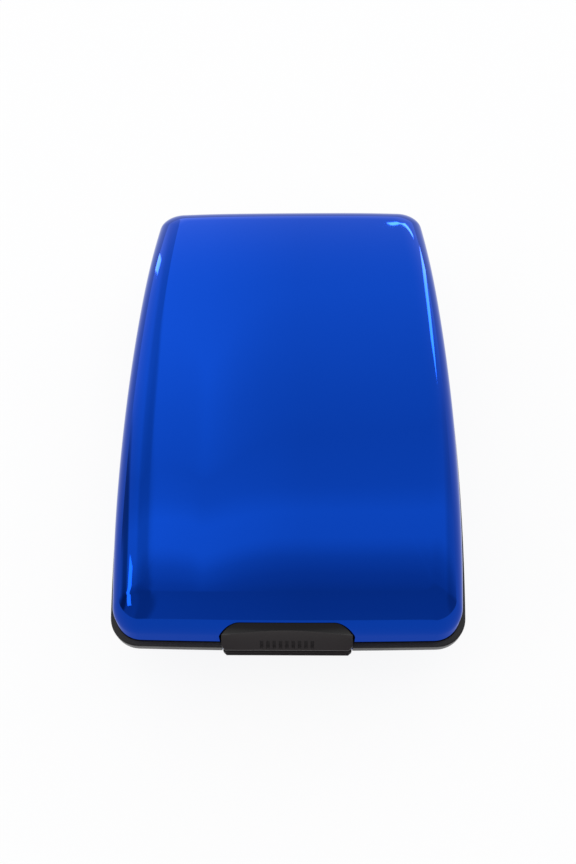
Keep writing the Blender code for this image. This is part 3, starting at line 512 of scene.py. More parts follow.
def finish_piece(name, bm, material, body, stands_for=(), sharp=35):
    """A shape becomes a piece: lifted to its height, shaded, and riding on its body."""
    bmesh.ops.translate(bm, vec=(0, 0, MIDDLE_Z), verts=bm.verts)
    piece = make_object(name, bm)
    mesh = piece.data
    if "number" in mesh.attributes:
        mesh.attributes.remove(mesh.attributes["number"])
    mesh.shade_smooth()
    mesh.set_sharp_from_angle(angle=math.radians(sharp))
    mesh.materials.append(material)
    if body:
        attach(piece, body)
    if stands_for:
        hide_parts(*stands_for)
    print(name, len(mesh.polygons), "faces")
    return piece


print("lids:", *LIDS)

# %% [markdown]
# ## The covers
# A cover is pressed from 0.8 mm sheet, so its wall is the same all over and its rim is a plain cut
# edge. The outside skin is laid ring by ring: up the drafted wall, round the rolled edge in even
# turns, over the crown and in to the middle. The skin then gets its wall, and the opening for the
# latch is cut through it. Last, every cut edge is broken a little, as tumbling leaves it. In the
# photograph the skirt at the near end mirrors the room as a flatter slope would, so the normals
# there are leaned back. Its shape stays.

# %% Rings of a cover
ROLL_STEPS = 24
WALL_SUPPORTS = (0.045, 0.15, 0.5)
CROWN_STEPS = 12
PANEL_STEPS = 6


def cover_rings():
    """Rings of a cover's outside, from its rim to the middle."""
    rings = [flat_ring(BAND_LEDGE, RIM)]
    for step in range(ROLL_STEPS + 1):
        angle = step / ROLL_STEPS * math.pi / 2
        outline = case_outline(roll_inset(angle))
        rings.append([(x, y, roll_point(x, y, angle)) for x, y in outline])
    foot, wall_end = rings[:2]
    for place, share in enumerate(WALL_SUPPORTS):
        ring = [tuple(Vector(low).lerp(Vector(high), share)) for low, high in zip(foot, wall_end)]
        rings.insert(1 + place, ring)
    edge = rings[-1]
    panel = bowed_outline(PANEL_HALF_WIDTH, PANEL_HALF_LENGTH, 0, 0, PANEL_CORNER)
    for step in range(1, CROWN_STEPS + PANEL_STEPS):
        past_crown = max(0, step - CROWN_STEPS) / PANEL_STEPS
        share = min(1, step / CROWN_STEPS)
        ring = []
        for outer, inner in zip(edge, panel):
            x = (outer[0] + (inner[0] - outer[0]) * share) * (1 - past_crown)
            y = (outer[1] + (inner[1] - outer[1]) * share) * (1 - past_crown)
            ring.append((x, y, RIM + (TOP - RIM) * height_left(x, y)))
        rings.append(ring)
    return rings


print("rings of a cover:", len(cover_rings()))

# %% The shine of the skirt
SKIRT_SLOPES = [(0, 18), (25, 27), (48, 36.5), (58, 48), (70, 67), (80, 80), (90, 90)]
SKIRT_FACING = 0.2
SKIRT_FOOT = RIM + 0.12 * MM
SKIRT_END = -HALF_LENGTH + BAND_LEDGE + EDGE_ROLL


def skirt_slope(rise):
    """The slope that a pressed skirt shows in place of a plainly rolled one, both in radians."""
    rise = math.degrees(rise)
    for (low, shown_low), (high, shown_high) in zip(SKIRT_SLOPES, SKIRT_SLOPES[1:]):
        if rise <= high:
            share = max(0, (rise - low) / (high - low))
            return math.radians(shown_low + (shown_high - shown_low) * share)
    return math.radians(rise)


def lean_skirt_back(mesh):
    """Bends the normals on the near end of a cover, so that its skirt mirrors as a slope does."""
    normals = []
    for vert in mesh.vertices:
        normal = vert.normal
        side = 1 if vert.co.z > MIDDLE_Z else -1
        rise = math.asin(max(-1, min(1, side * normal.z)))
        facing = -normal.y / max(1e-6, math.hypot(normal.x, normal.y))
        outside = vert.co.y < SKIRT_END and facing > SKIRT_FACING and rise > -0.02
        if not outside or abs(vert.co.z - MIDDLE_Z) < SKIRT_FOOT:
            normals.append((0, 0, 0))
            continue
        share = (facing - SKIRT_FACING) / (1 - SKIRT_FACING)
        rise += (skirt_slope(rise) - rise) * share * share * (3 - 2 * share)
        level = Vector((normal.x, normal.y, 0)).normalized() * math.cos(rise)
        normals.append((level.x, level.y, side * math.sin(rise)))
    mesh.normals_split_custom_set_from_vertices(normals)


print("an upright skirt shows, degrees:", round(math.degrees(skirt_slope(0)), 1))

# %% Both covers
LATCH_HALF = 11.95 * MM
LATCH_CORNER = 3.5 * MM
NOTCH_GAP = 0.4 * MM
NOTCH_HALF = LATCH_HALF + NOTCH_GAP
NOTCH_TOP = LATCH_TOP + 0.35 * MM
HOUSING_FRONT = -48.5 * MM
PAST_END = 60 * MM
CORNER_FACETS = 12


def upper_corners(middle, way):
    """Picks the two edges that run along Y at the top of a block."""
    return abs(way.y) > 0.9 and middle.z > LATCH_TOP / 2


for lid in LIDS:
    skin = walled(rings_to_bmesh(cover_rings(), close_last=True), SHEET)
    notch = block(
        (-NOTCH_HALF, -PAST_END, 0), (NOTCH_HALF, HOUSING_FRONT, NOTCH_TOP),
        (upper_corners, LATCH_CORNER + NOTCH_GAP, CORNER_FACETS),
    )
    cover = soften(carve(skin, ("DIFFERENCE", notch)), 0.1 * MM, 2, 50)
    shell = finish_piece(
        f"{lid}_cover_shell", turned_over(cover, lid), BLUE_ALUMINIUM,
        f"{lid}_lid", [f"{lid}_cover"],
    )
    lean_skirt_back(shell.data)

# %% [markdown]
# ## The middle frame
# The frame is one moulding: a ring that shows as the black band round the case, a thin divider
# inside it, the block that both latches hook under, and three hinge knuckles. Its outer edges are
# rounded, because a mould is cut with a round tool.

# %% Hinge knuckles
HINGE_Y = HALF_LENGTH + 0.3 * MM
HINGE_PIN_RADIUS = 0.5 * MM
BORE_HALF = 24 * MM
BARREL_RADIUS = 1.5 * MM
CHAMFER = 0.12 * MM
KNUCKLE_SPANS = {
    "frame": [(-21.9 * MM, -16.9 * MM), (-4 * MM, 4 * MM), (16.9 * MM, 21.9 * MM)],
    "card": [(-10.3 * MM, -4.3 * MM), (4.3 * MM, 10.3 * MM)],
    "cash": [(-16.6 * MM, -10.6 * MM), (10.6 * MM, 16.6 * MM)],
}

print("knuckles:", sum(len(spans) for spans in KNUCKLE_SPANS.values()))

# %% The frame itself
RING_WIDTH = 4.2 * MM
DIVIDER = 0.5 * MM
FRAME_SECTION = [
    (RING_WIDTH, -DIVIDER), (RING_WIDTH, -FRAME_TOP), (0.5 * MM, -FRAME_TOP), (0, -FRAME_TOP),
    (0, -0.6 * MM), (0, 0.6 * MM), (0, FRAME_TOP), (0.5 * MM, FRAME_TOP), (RING_WIDTH, FRAME_TOP),
    (RING_WIDTH, DIVIDER),
]
RECESS_Y = -HALF_LENGTH + 1.8 * MM
RECESS_HALF = LATCH_HALF + 0.12 * MM
CATCH_HALF = 5.2 * MM
CATCH_TOP = 2.6 * MM
CATCH_UNDER = 1.6 * MM
CATCH_DEPTH = 1.8 * MM
GROOVE_HALF = CATCH_HALF + GAP
KNUCKLE_ROOM_Y = 50.55 * MM
CUT_HEIGHT = 5 * MM
RIVET_X, RIVET_Y = 4.5 * MM, 34.5 * MM
RIVET_HOLE = 0.9 * MM

rings = [flat_ring(*place) for place in FRAME_SECTION]
bm = soften(rings_to_bmesh(rings, close_first=True, close_last=True), 0.22 * MM, 3, 60)
steps = [("UNION", block(
    (-CATCH_HALF, RECESS_Y - GAP, -CATCH_TOP), (CATCH_HALF, RECESS_Y + CATCH_DEPTH, CATCH_TOP)
))]
for low, high in KNUCKLE_SPANS["frame"]:
    barrel = rod((low, HINGE_Y, 0), (high, HINGE_Y, 0), BARREL_RADIUS, 48, CHAMFER)
    steps.append(("UNION", barrel))
cuts = [
    block((-RECESS_HALF, -PAST_END, -CUT_HEIGHT), (RECESS_HALF, RECESS_Y, CUT_HEIGHT)),
    block((-GROOVE_HALF, -PAST_END, -CATCH_UNDER), (GROOVE_HALF, RECESS_Y + MM, CATCH_UNDER)),
]
for low, high in KNUCKLE_SPANS["cash"] + KNUCKLE_SPANS["card"]:
    cuts.append(
        block((low - GAP, KNUCKLE_ROOM_Y, -CUT_HEIGHT), (high + GAP, PAST_END, CUT_HEIGHT))
    )
cuts.append(rod((-BORE_HALF, HINGE_Y, 0), (BORE_HALF, HINGE_Y, 0), HINGE_PIN_RADIUS + GAP, 32))
for x in (-RIVET_X, RIVET_X):
    cuts.append(rod((x, RIVET_Y, -3 * MM), (x, RIVET_Y, 3 * MM), RIVET_HOLE))
steps += [("DIFFERENCE", cut) for cut in cuts]
finish_piece("middle_frame", carve(bm, *steps), BLACK_ABS, "frame", ["mid_frame"])

# %% [markdown]
# ## The latches
# Each latch is a moulded lever. Its front has a dark band that carries on the roll of the cover,
# an arched crease, and below it a hollow pad that sweeps out to a lip for the fingernail. Behind,
# a hub turns on a pin and a barb hooks under the frame's catch. The front starts as a grid whose
# rows follow the arch of the crease, so that the crease is one clean line. The middle of the pad
# has a row of short sunk bars for grip. The lip ends in two small steps, so that a fingernail
# finds an edge. The mould is polished at the band and spark eroded at the pad, so the band is
# smoother. The band's colour is also painted darker than the pad's: painted shade for the dim
# room that the band mirrors.

# %% The front of a latch
LIP_Y = -HALF_LENGTH - 0.6 * MM
LIP_TOP = 1.95 * MM
CREASE_TOP = LATCH_TOP - 1.1 * MM
CREASE_WIDTH = 0.1 * MM
ARCH_DROP = 1.4 * MM
BAND_SINK = 0.08 * MM
BAND_LEAN = 0.27 * MM
PAD_SINK = 0.42 * MM
PAD_SWEEP = 1.4
NOSE = [(0, 1.65), (0.35, 1.6), (0.35, 1.15), (1.25, 1.05), (1.25, 0.7), (1.15, GAP / MM)]
BAND_ROWS, PAD_ROWS = 10, 22
ARCH_COLUMNS = 48


def crease_height(x):
    """Height of the arched crease at a place across the latch."""
    return CREASE_TOP - ARCH_DROP * (x / LATCH_HALF) ** 2


def pad_place(crease, share):
    """Where along Y the hollow pad lies, at a share of the way down from the crease to the lip."""
    start = end_place(crease) + PAD_SINK
    return start + (LIP_Y - start) * share**PAD_SWEEP


def front_point(x, row):
    """Where a grid point of the latch front lies; rows count down from its top edge."""
    crease = crease_height(x)
    if row <= BAND_ROWS:
        z = LATCH_TOP + (crease - LATCH_TOP) * row / BAND_ROWS
        return end_place(z) + BAND_SINK + BAND_LEAN * (1 - row / BAND_ROWS), z
    if row <= BAND_ROWS + PAD_ROWS:
        share = (row - BAND_ROWS - 1) / (PAD_ROWS - 1)
        z = crease - CREASE_WIDTH + (LIP_TOP - crease + CREASE_WIDTH) * share
        return pad_place(crease, share), z
    inset, z = NOSE[row - BAND_ROWS - PAD_ROWS - 1]
    return LIP_Y + inset * MM, z * MM


print("crease, mm above the middle:", [round(crease_height(x) / MM, 2) for x in (0, LATCH_HALF)])

# %% The plastic of the latches
CREASE_FADE = 0.15 * MM
POLISH = -0.25


def latch_abs():
    material, tree, shader, place = start_material("polished_and_grained_black_abs_with_painted_shade")
    part = add(tree, "ShaderNodeSeparateXYZ", {"Vector": place}).outputs
    up = add(tree, "ShaderNodeMath", {0: part["Z"], 1: MIDDLE_Z}, operation="SUBTRACT")
    up = add(tree, "ShaderNodeMath", {0: up}, operation="ABSOLUTE")
    square = add(tree, "ShaderNodeMath", {0: part["X"], 1: part["X"]}, operation="MULTIPLY")
    arched = add(
        tree, "ShaderNodeMath",
        {0: square, 1: ARCH_DROP / LATCH_HALF**2, 2: up},
        operation="MULTIPLY_ADD",
    )
    band = add(
        tree, "ShaderNodeMapRange",
        {"Value": arched, "From Min": CREASE_TOP - CREASE_FADE, "From Max": CREASE_TOP},
    )
    patches = add(tree, "ShaderNodeTexNoise", {"Vector": place, "Scale": HAZE_SCALE, "Detail": 3.0})
    roughness = add(tree, "ShaderNodeMapRange", {"Value": patches, "To Min": 0.4, "To Max": 0.54})
    roughness = add(
        tree, "ShaderNodeMath", {0: band, 1: POLISH, 2: roughness}, operation="MULTIPLY_ADD"
    )
    grain = add(tree, "ShaderNodeTexNoise", {"Vector": place, "Scale": GRAIN_SCALE, "Detail": 2.0})
    kept = add(tree, "ShaderNodeMath", {0: 1.0, 1: band}, operation="SUBTRACT")
    height = add(tree, "ShaderNodeMath", {0: grain, 1: kept}, operation="MULTIPLY")
    bump = add(tree, "ShaderNodeBump", {"Height": height, "Strength": 0.3, "Distance": 0.02 * MM})
    # The band's colour is painted darker than the pad's: painted shade for the dim room that the
    # band mirrors.
    colour = add(
        tree, "ShaderNodeMix", {0: band, 6: linear("262121"), 7: linear("0A0809")}, data_type="RGBA"
    )
    fill(tree, shader, {
        "Base Color": colour.outputs[2], "IOR": 1.54, "Specular IOR Level": 0.22,
        "Roughness": roughness, "Normal": bump,
    })
    return material


LATCH_ABS = latch_abs()
print(LATCH_ABS.name)

# %% The block of a latch
PIVOT_Y = -50.1 * MM
PIVOT_Z = LATCH_TOP - 2.45 * MM
HUB_RADIUS = 1.2 * MM
LATCH_BACK = RECESS_Y - GAP
BACK_DEPTH = 1.8 * MM
FRONT_OVER = 0.1 * MM


def latch_back(z):
    """The back of the lever: thin beside the frame's ring, deep behind the hub."""
    low, high = PIVOT_Z - HUB_RADIUS - GAP, PIVOT_Z - HUB_RADIUS / 2
    share = max(0, min(1, (z - low) / (high - low)))
    return LATCH_BACK + BACK_DEPTH * share


def latch_front():
    """A grid laid on the front, a little wider than the latch, and given its depth."""
    rows = BAND_ROWS + PAD_ROWS + len(NOSE)
    bm = bmesh.new()
    bmesh.ops.create_grid(bm, x_segments=ARCH_COLUMNS, y_segments=rows, size=1)
    for vert in bm.verts:
        x = vert.co.x * (LATCH_HALF + FRONT_OVER)
        y, z = front_point(x, round((1 - vert.co.y) / 2 * rows))
        vert.co = (x, y, z)
    grown = bmesh.ops.extrude_face_region(bm, geom=bm.faces[:])["geom"]
    for vert in only(bmesh.types.BMVert, grown):
        vert.co.y = latch_back(vert.co.z)
    bmesh.ops.recalc_face_normals(bm, faces=bm.faces)
    return bm


print("depth of a latch at its lip, mm:", round((latch_back(GAP) - LIP_Y) / MM, 2))

# %% The grip
GRIP_BARS = 9
GRIP_PITCH = 1.15 * MM
GRIP_WIDTH = 0.6 * MM
GRIP_HEIGHT = 1.3 * MM
GRIP_Z = 2.8 * MM
GRIP_DEPTH = 0.5 * MM
GRIP_PROUD = 0.3 * MM


def grip_bars():
    """A row of short bars, laid on the slope of the pad, that the front is sunk by."""
    bm = bmesh.new()
    for i in range(GRIP_BARS):
        middle = (i - (GRIP_BARS - 1) / 2) * GRIP_PITCH
        for vert in bmesh.ops.create_cube(bm, size=1)["verts"]:
            x = middle + vert.co.x * GRIP_WIDTH
            z = GRIP_Z + vert.co.z * GRIP_HEIGHT
            crease = crease_height(x)
            share = (crease - CREASE_WIDTH - z) / (crease - CREASE_WIDTH - LIP_TOP)
            y = pad_place(crease, share) + (GRIP_DEPTH if vert.co.y > 0 else -GRIP_PROUD)
            vert.co = (x, y, z)
    return bm


print("width of the grip, mm:", round(((GRIP_BARS - 1) * GRIP_PITCH + GRIP_WIDTH) / MM, 1))

# %% Latch levers
LATCH_PIN_RADIUS = 0.45 * MM
LATCH_BORE_HALF = 14 * MM
HUB_HALF = 11.55 * MM
SPRING_ROOM_HALF = 2.85 * MM
SPRING_ROOM_RADIUS = 1.25 * MM
BARB_HALF = 4.6 * MM
LIP_CORNER = 0.65 * MM


def lip_corners(middle, way):
    """Picks the two upright edges at the front of a block, to cut off the lip's corners."""
    return abs(way.z) > 0.9 and middle.y < LATCH_BACK


def on_pivot(half, radius, sides):
    """A rod on the line that a latch turns on."""
    return rod((-half, PIVOT_Y, PIVOT_Z), (half, PIVOT_Y, PIVOT_Z), radius, sides)


def latch_lever():
    face = block(
        (-LATCH_HALF, LIP_Y - 0.01 * MM, GAP), (LATCH_HALF, -40 * MM, LATCH_TOP),
        (upper_corners, LATCH_CORNER, CORNER_FACETS), (lip_corners, LIP_CORNER, 1),
    )
    barb = block(
        (-BARB_HALF, LATCH_BACK - GAP, 0.4 * MM), (BARB_HALF, RECESS_Y + 0.7 * MM, 1.3 * MM)
    )
    lever = soften(carve(latch_front(), ("INTERSECT", face)), 0.12 * MM, 3, 40)
    return carve(
        lever,
        ("UNION", on_pivot(HUB_HALF, HUB_RADIUS, 40)),
        ("DIFFERENCE", on_pivot(LATCH_BORE_HALF, LATCH_PIN_RADIUS + GAP, 32)),
        ("UNION", barb),
        ("DIFFERENCE", on_pivot(SPRING_ROOM_HALF, SPRING_ROOM_RADIUS, 32)),
        ("DIFFERENCE", grip_bars()),
    )


for lid in LIDS:
    finish_piece(
        f"{lid}_latch_lever", turned_over(latch_lever(), lid), LATCH_ABS,
        f"{lid}_latch", [f"{lid}_latch"],
    )

# %% [markdown]
# ## Spring steel
# Pins, springs, rivets and the note clip are bright spring steel. Strip and wire are drawn or
# rolled, which leaves fine lines that run with the metal. They are drawn much coarser than the
# real ones, which couldn't be seen here, and they break up the shine along one direction.

# %% Bright drawn steel
LINES_SCALE = 1 / (0.35 * MM)
LINE_STRETCH = 0.06


def drawn_steel(name, run):
    """Steel whose drawn lines run along "X" or "Y"."""
    material, tree, shader, place = start_material(name)
    stretch = (LINE_STRETCH, 1, 1) if run == "X" else (1, LINE_STRETCH, 1)
    drawn = add(tree, "ShaderNodeMapping", {"Vector": place, "Scale": stretch})
    lines = add(tree, "ShaderNodeTexNoise", {"Vector": drawn, "Scale": LINES_SCALE, "Detail": 3.0})
    roughness = add(
        tree, "ShaderNodeMapRange", {"Value": lines, **NOISE_RANGE, "To Min": 0.24, "To Max": 0.34}
    )
    bump = add(tree, "ShaderNodeBump", {"Height": lines, "Strength": 0.12, "Distance": 0.004 * MM})
    fill(tree, shader, {
        "Base Color": linear("C3C4C8"), "Metallic": 1, "Roughness": roughness, "Normal": bump,
    })
    return material


WIRE_STEEL = drawn_steel("drawn_steel_wire", "X")
STRIP_STEEL = drawn_steel("rolled_steel_strip", "Y")
print(WIRE_STEEL.name, STRIP_STEEL.name)

# %% [markdown]
# ## Smoke polypropylene
# The card leaves and the folds between them are polypropylene film, tinted smoke grey. The film
# is rolled against a frosted drum, so it is clear enough to show a card through it but too rough
# to mirror anything. The frost is drawn coarser than the real one, which couldn't be seen here.

# %% Smoke film
FROST_SCALE = 1 / (0.5 * MM)


def smoke_film():
    material, tree, shader, place = start_material("frosted_smoke_polypropylene")
    frost = add(tree, "ShaderNodeTexNoise", {"Vector": place, "Scale": FROST_SCALE, "Detail": 3.0})
    tint = add(
        tree, "ShaderNodeMix",
        {0: frost, 6: linear("3A3D40"), 7: linear("4A4D51")}, data_type="RGBA",
    )
    bump = add(tree, "ShaderNodeBump", {"Height": frost, "Strength": 0.3, "Distance": 0.02 * MM})
    fill(tree, shader, {
        "Base Color": tint.outputs[2], "Roughness": 0.42, "IOR": 1.49,
        "Transmission Weight": 0.35, "Normal": bump,
    })
    return material


SMOKE_FILM = smoke_film()
print(SMOKE_FILM.name)

# %% [markdown]
# ## The liners
# A liner is the moulded black inside of a lid, with the hinge knuckles, the housing of the latch
# and the ribs for the fan. The CAD solid has its full shape already, but as loose flat triangles.
# A copy is merged and shaded smooth over its curves, and the real edges stay sharp.

# %% Liners
for lid in LIDS:
    bm = bmesh.new()
    bm.from_mesh(nodes[f"{lid}_liner"].data)
    bmesh.ops.remove_doubles(bm, verts=bm.verts, dist=WELD)
    bmesh.ops.translate(bm, vec=(0, 0, -MIDDLE_Z), verts=bm.verts)
    finish_piece(
        f"{lid}_inner_liner", bm, BLACK_ABS, f"{lid}_lid", [f"{lid}_liner"], 25
    )

# %% [markdown]
# ## The card fan
# Six thin leaves hang between the frame and the card lid, one slot for a card between each two.
# All but the first have a thumb cut at the mouth. A folded strip of film runs round three sides
# of each slot: its fold lies between the leaves when the case is shut and opens like a bellows
# when the lid swings down. Each strip is laid section by section round the leaf, between the two
# leaves that it joins.

# %% Leaves
LEAVES = 6
LEAF_HALF_WIDTH = 28.5 * MM
LEAF_HALF_LENGTH = 44 * MM
LEAF_CORNER = 2 * MM
LEAF_THICKNESS = 0.4 * MM
FIRST_LEAF_Z = -1 * MM
LEAF_PITCH = 1.1964 * MM
THUMB_RADIUS = 9 * MM
THUMB_DEPTH = 6 * MM


def leaf_height(number):
    return FIRST_LEAF_Z - (number - 1) * LEAF_PITCH


def upright(middle, way):
    return abs(way.z) > 0.9


for number in range(1, LEAVES + 1):
    z, half = leaf_height(number), LEAF_THICKNESS / 2
    bm = block(
        (-LEAF_HALF_WIDTH, -LEAF_HALF_LENGTH, z - half),
        (LEAF_HALF_WIDTH, LEAF_HALF_LENGTH, z + half),
        (upright, LEAF_CORNER, 8),
    )
    if number > 1:
        thumb_y = THUMB_DEPTH - THUMB_RADIUS - LEAF_HALF_LENGTH
        thumb = rod((0, thumb_y, z - MM), (0, thumb_y, z + MM), THUMB_RADIUS, 96)
        bm = carve(bm, ("DIFFERENCE", thumb))
    soften(bm, 0.09 * MM, 2, 50)
    body = "frame" if number == 1 else f"leaf_{number}"
    finish_piece(
        f"fan_leaf_{number}", bm, SMOKE_FILM, body,
        [f"card_leaf_{number}"], 60,
    )

# %% Folded strips
FILM_EDGE = LEAF_HALF_WIDTH + 0.25 * MM
FILM_THICKNESS = 0.15 * MM
FILM_LAP = 0.03 * MM
FILM_CLEAR = 0.12 * MM
FOLD_AT_MOUTH = 6.5 * MM
FOLD_AT_REAR = 1.2 * MM
FOLD_STEPS = 14
TURN_STEPS = 6


def stations():
    """Places round the leaf: a point on its edge, the way in from there, and the fold's depth."""
    side_end = LEAF_HALF_LENGTH - LEAF_CORNER
    corner_x = LEAF_HALF_WIDTH - LEAF_CORNER
    reach = LEAF_CORNER + FILM_EDGE - LEAF_HALF_WIDTH
    half = []
    for step in range(FOLD_STEPS):
        share = step / FOLD_STEPS
        place = Vector((FILM_EDGE, side_end * (2 * share - 1), 0))
        depth = FOLD_AT_MOUTH + (FOLD_AT_REAR - FOLD_AT_MOUTH) * share
        half.append((place, Vector((-1, 0, 0)), depth))
    for step in range(TURN_STEPS + 1):
        angle = math.radians(90 * step / TURN_STEPS)
        way = Vector((-math.cos(angle), -math.sin(angle), 0))
        half.append((Vector((corner_x, side_end, 0)) - way * reach, way, FOLD_AT_REAR))
    mirror = [
        (Vector((-place.x, place.y, 0)), Vector((-way.x, way.y, 0)), depth)
        for place, way, depth in reversed(half)
    ]
    return half + mirror


def folded_strip(upper, lower):
    """Film between two leaves: down the upper one's edge, in to the fold, out and down again."""
    step = LEAF_THICKNESS / 2 + FILM_CLEAR
    heights = [
        upper - FILM_LAP, upper - step, (upper + lower) / 2, lower + step, lower + FILM_LAP
    ]
    bm = bmesh.new()
    number = bm.verts.layers.int.new("number")
    edges = []
    for place, way, depth in stations():
        section = [
            place + way * inwards + Vector((0, 0, z))
            for inwards, z in zip((0, 0, depth, 0, 0), heights)
        ]
        if edges:
            edges = lay_next(bm, edges, section)
            continue
        points = [bm.verts.new(point) for point in section]
        for i, vert in enumerate(points):
            vert[number] = i
        edges = [bm.edges.new(pair) for pair in zip(points, points[1:])]
    bmesh.ops.recalc_face_normals(bm, faces=bm.faces)
    return walled(bm, FILM_THICKNESS)


for number in range(1, LEAVES):
    upper, lower = leaf_height(number), leaf_height(number + 1)
    stands_for = ["gusset_left", "gusset_right", "gusset_rear"] if number == 1 else []
    strip = finish_piece(
        f"fan_fold_{number}", folded_strip(upper, lower), SMOKE_FILM, None,
        stands_for, 60,
    )
    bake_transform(strip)

# %% [markdown]
# ## Pins, springs and rivets
# The pins are cut from ground rod, and their ends are chamfered so that they start in their bores.
# A torsion spring is round wire wound on a mandrel: a small circle is spun round the pin's line
# and moved along it at the same time, and both ends are pulled out into straight legs. The rivets
# are turned: half a section is spun once round.

# %% Pins
CLIP_PIN_Y, CLIP_PIN_Z = 28 * MM, 2.75 * MM
LATCH_PIN_HALF = 13.25 * MM
pins = {
    "hinge_pin": (21.9 * MM, HINGE_Y, 0, HINGE_PIN_RADIUS, "frame"),
    "clip_pin": (9 * MM, CLIP_PIN_Y, CLIP_PIN_Z, 0.45 * MM, "frame"),
    "cash_latch_pin": (LATCH_PIN_HALF, PIVOT_Y, PIVOT_Z, LATCH_PIN_RADIUS, "cash_lid"),
    "card_latch_pin": (LATCH_PIN_HALF, PIVOT_Y, -PIVOT_Z, LATCH_PIN_RADIUS, "card_lid"),
}
for node, (half, y, z, radius, body) in pins.items():
    bm = rod((-half, y, z), (half, y, z), radius, 32, CHAMFER)
    finish_piece(f"ground_{node}", bm, WIRE_STEEL, body, [node], 50)

# %% Springs
SPRING_TURNS = 4.5
SPRING_LENGTH = 4.8 * MM
SPRING_RADIUS = 0.8 * MM
WIRE_RADIUS = 0.15 * MM
SPRING_LEG = 0.7 * MM
STEPS_A_TURN = 24


def torsion_spring(y, z):
    bm = bmesh.new()
    start = Matrix.Translation((-SPRING_LENGTH / 2, y + SPRING_RADIUS, z))
    bmesh.ops.create_circle(bm, segments=10, radius=WIRE_RADIUS, matrix=start)
    foot = bm.edges[:]
    steps = round(SPRING_TURNS * STEPS_A_TURN)
    wound = bmesh.ops.spin(
        bm, geom=bm.verts[:] + foot, cent=(0, y, z), axis=(1, 0, 0),
        angle=SPRING_TURNS * 2 * math.pi, steps=steps, dvec=(SPRING_LENGTH / steps, 0, 0),
    )["geom_last"]
    for ends in (foot, only(bmesh.types.BMEdge, wound)):
        leg = bmesh.ops.extrude_edge_only(bm, edges=ends)["geom"]
        bmesh.ops.translate(bm, vec=(0, 0, -SPRING_LEG), verts=only(bmesh.types.BMVert, leg))
        bmesh.ops.contextual_create(bm, geom=only(bmesh.types.BMEdge, leg))
    bmesh.ops.recalc_face_normals(bm, faces=bm.faces)
    return bm


finish_piece(
    "wound_clip_spring", torsion_spring(CLIP_PIN_Y, CLIP_PIN_Z), WIRE_STEEL,
    "frame", ["clip_spring"], 60,
)
for lid in LIDS:
    finish_piece(
        f"wound_{lid}_latch_spring", turned_over(torsion_spring(PIVOT_Y, PIVOT_Z), lid),
        WIRE_STEEL, f"{lid}_lid", [f"{lid}_latch_spring"], 60,
    )

# %% Rivets
RIVET_PROFILE_MM = [
    (0, 2.3), (0.35, 2.27), (0.7, 2.18), (1.05, 2.02), (1.3, 1.84), (1.4, 1.72), (1.4, 1.7),
    (0.6, 1.7), (0.6, -0.5), (0, -0.5),
]
for side, x in (("left", -RIVET_X), ("right", RIVET_X)):
    bm = bmesh.new()
    points = [bm.verts.new((x + r * MM, RIVET_Y, z * MM)) for r, z in RIVET_PROFILE_MM]
    edges = [bm.edges.new(pair) for pair in zip(points, points[1:])]
    bmesh.ops.spin(
        bm, geom=points + edges, cent=(x, RIVET_Y, 0), axis=(0, 0, 1), angle=2 * math.pi,
        steps=32, use_merge=True,
    )
    bmesh.ops.remove_doubles(bm, verts=bm.verts, dist=WELD)
    bmesh.ops.recalc_face_normals(bm, faces=bm.faces)
    finish_piece(
        f"domed_clip_rivet_{side}", bm, STRIP_STEEL, "frame",
        [f"clip_rivet_{side}"], 40,
    )

# %% Give the other CAD nodes their materials
for name, node in nodes.items():
    if not node.hide_render:
        node.data.materials.clear()
        node.data.materials.append(STRIP_STEEL if name.startswith("clip") else BLACK_ABS)
print("CAD nodes still shown:", [name for name, node in nodes.items() if not node.hide_render])

# %% [markdown]
# ## The room
# The case is photographed on white. Its bright covers mirror the whole room, so the room matters
# as much as the metal: a broad light stands beyond the far end, the near half of the room is
# dimmer, and the line between the two is the soft edge that crosses the cover above its latch.
# The sky is painted by direction. One ramp gives its colours from the near horizon to the far
# one, a second shifts them from side to side, and a third sets how bright each side is. Long
# lamps at the sides and the far end draw the bright streaks along the rolled edges.

# %% The sky
SKY_STRENGTH = 1.6
SKY_STOPS = [
    (-1.0, 0.38, 0.38, 0.4), (-0.9, 0.36, 0.36, 0.39), (-0.1, 0.34, 0.34, 0.37),
    (0.0, 0.42, 0.42, 0.46), (0.075, 0.55, 0.55, 0.58), (0.135, 0.73, 0.73, 0.75),
    (0.17, 0.8, 0.81, 0.82), (0.29, 0.83, 0.84, 0.85), (0.4, 0.69, 0.7, 0.72),
    (0.5, 0.65, 0.66, 0.68), (0.56, 0.74, 0.75, 0.76), (0.65, 0.92, 0.92, 0.92),
    (1.0, 1.0, 1.0, 1.0),
]
EDGE_SHIFT = 0.125
EDGE_STOPS = [
    (-0.45, 0.8), (-0.26, 0.36), (-0.21, 0.37), (-0.166, 0.47), (-0.14, 0.7), (-0.112, 0.5),
    (-0.081, 0.22), (-0.04, 0.02), (0.0, 0.0),
]
SIDE_STOPS = [
    (-1.0, 0.7), (-0.965, 0.3), (-0.9, 0.3), (-0.86, 0.82), (-0.6, 0.85), (-0.48, 0.68),
    (-0.275, 0.66), (-0.258, 1.0), (-0.1, 0.9), (0.0, 0.8), (0.8, 0.8), (0.9, 0.62), (1.0, 0.62),
]
# The side ramp's level straight over the case, where SKY_STRENGTH holds.
CENTRE_LEVEL = 0.8


def sky_ramp(tree, value, stops):
    """A ramp over a direction's part, from -1 to 1. A stop is a place and a level or a colour."""
    place = add(
        tree, "ShaderNodeMapRange",
        {"Value": value, "From Min": -1.0, "From Max": 1.0, "To Min": 0.0, "To Max": 1.0},
    )
    ramp = add(tree, "ShaderNodeValToRGB", {"Fac": place})
    elements = ramp.color_ramp.elements
    elements.remove(elements[1])
    for i, (stop, *colour) in enumerate(stops):
        element = elements[0] if i == 0 else elements.new((stop + 1) / 2)
        element.position = (stop + 1) / 2
        element.color = (*(colour if len(colour) == 3 else colour * 3), 1)
    return ramp


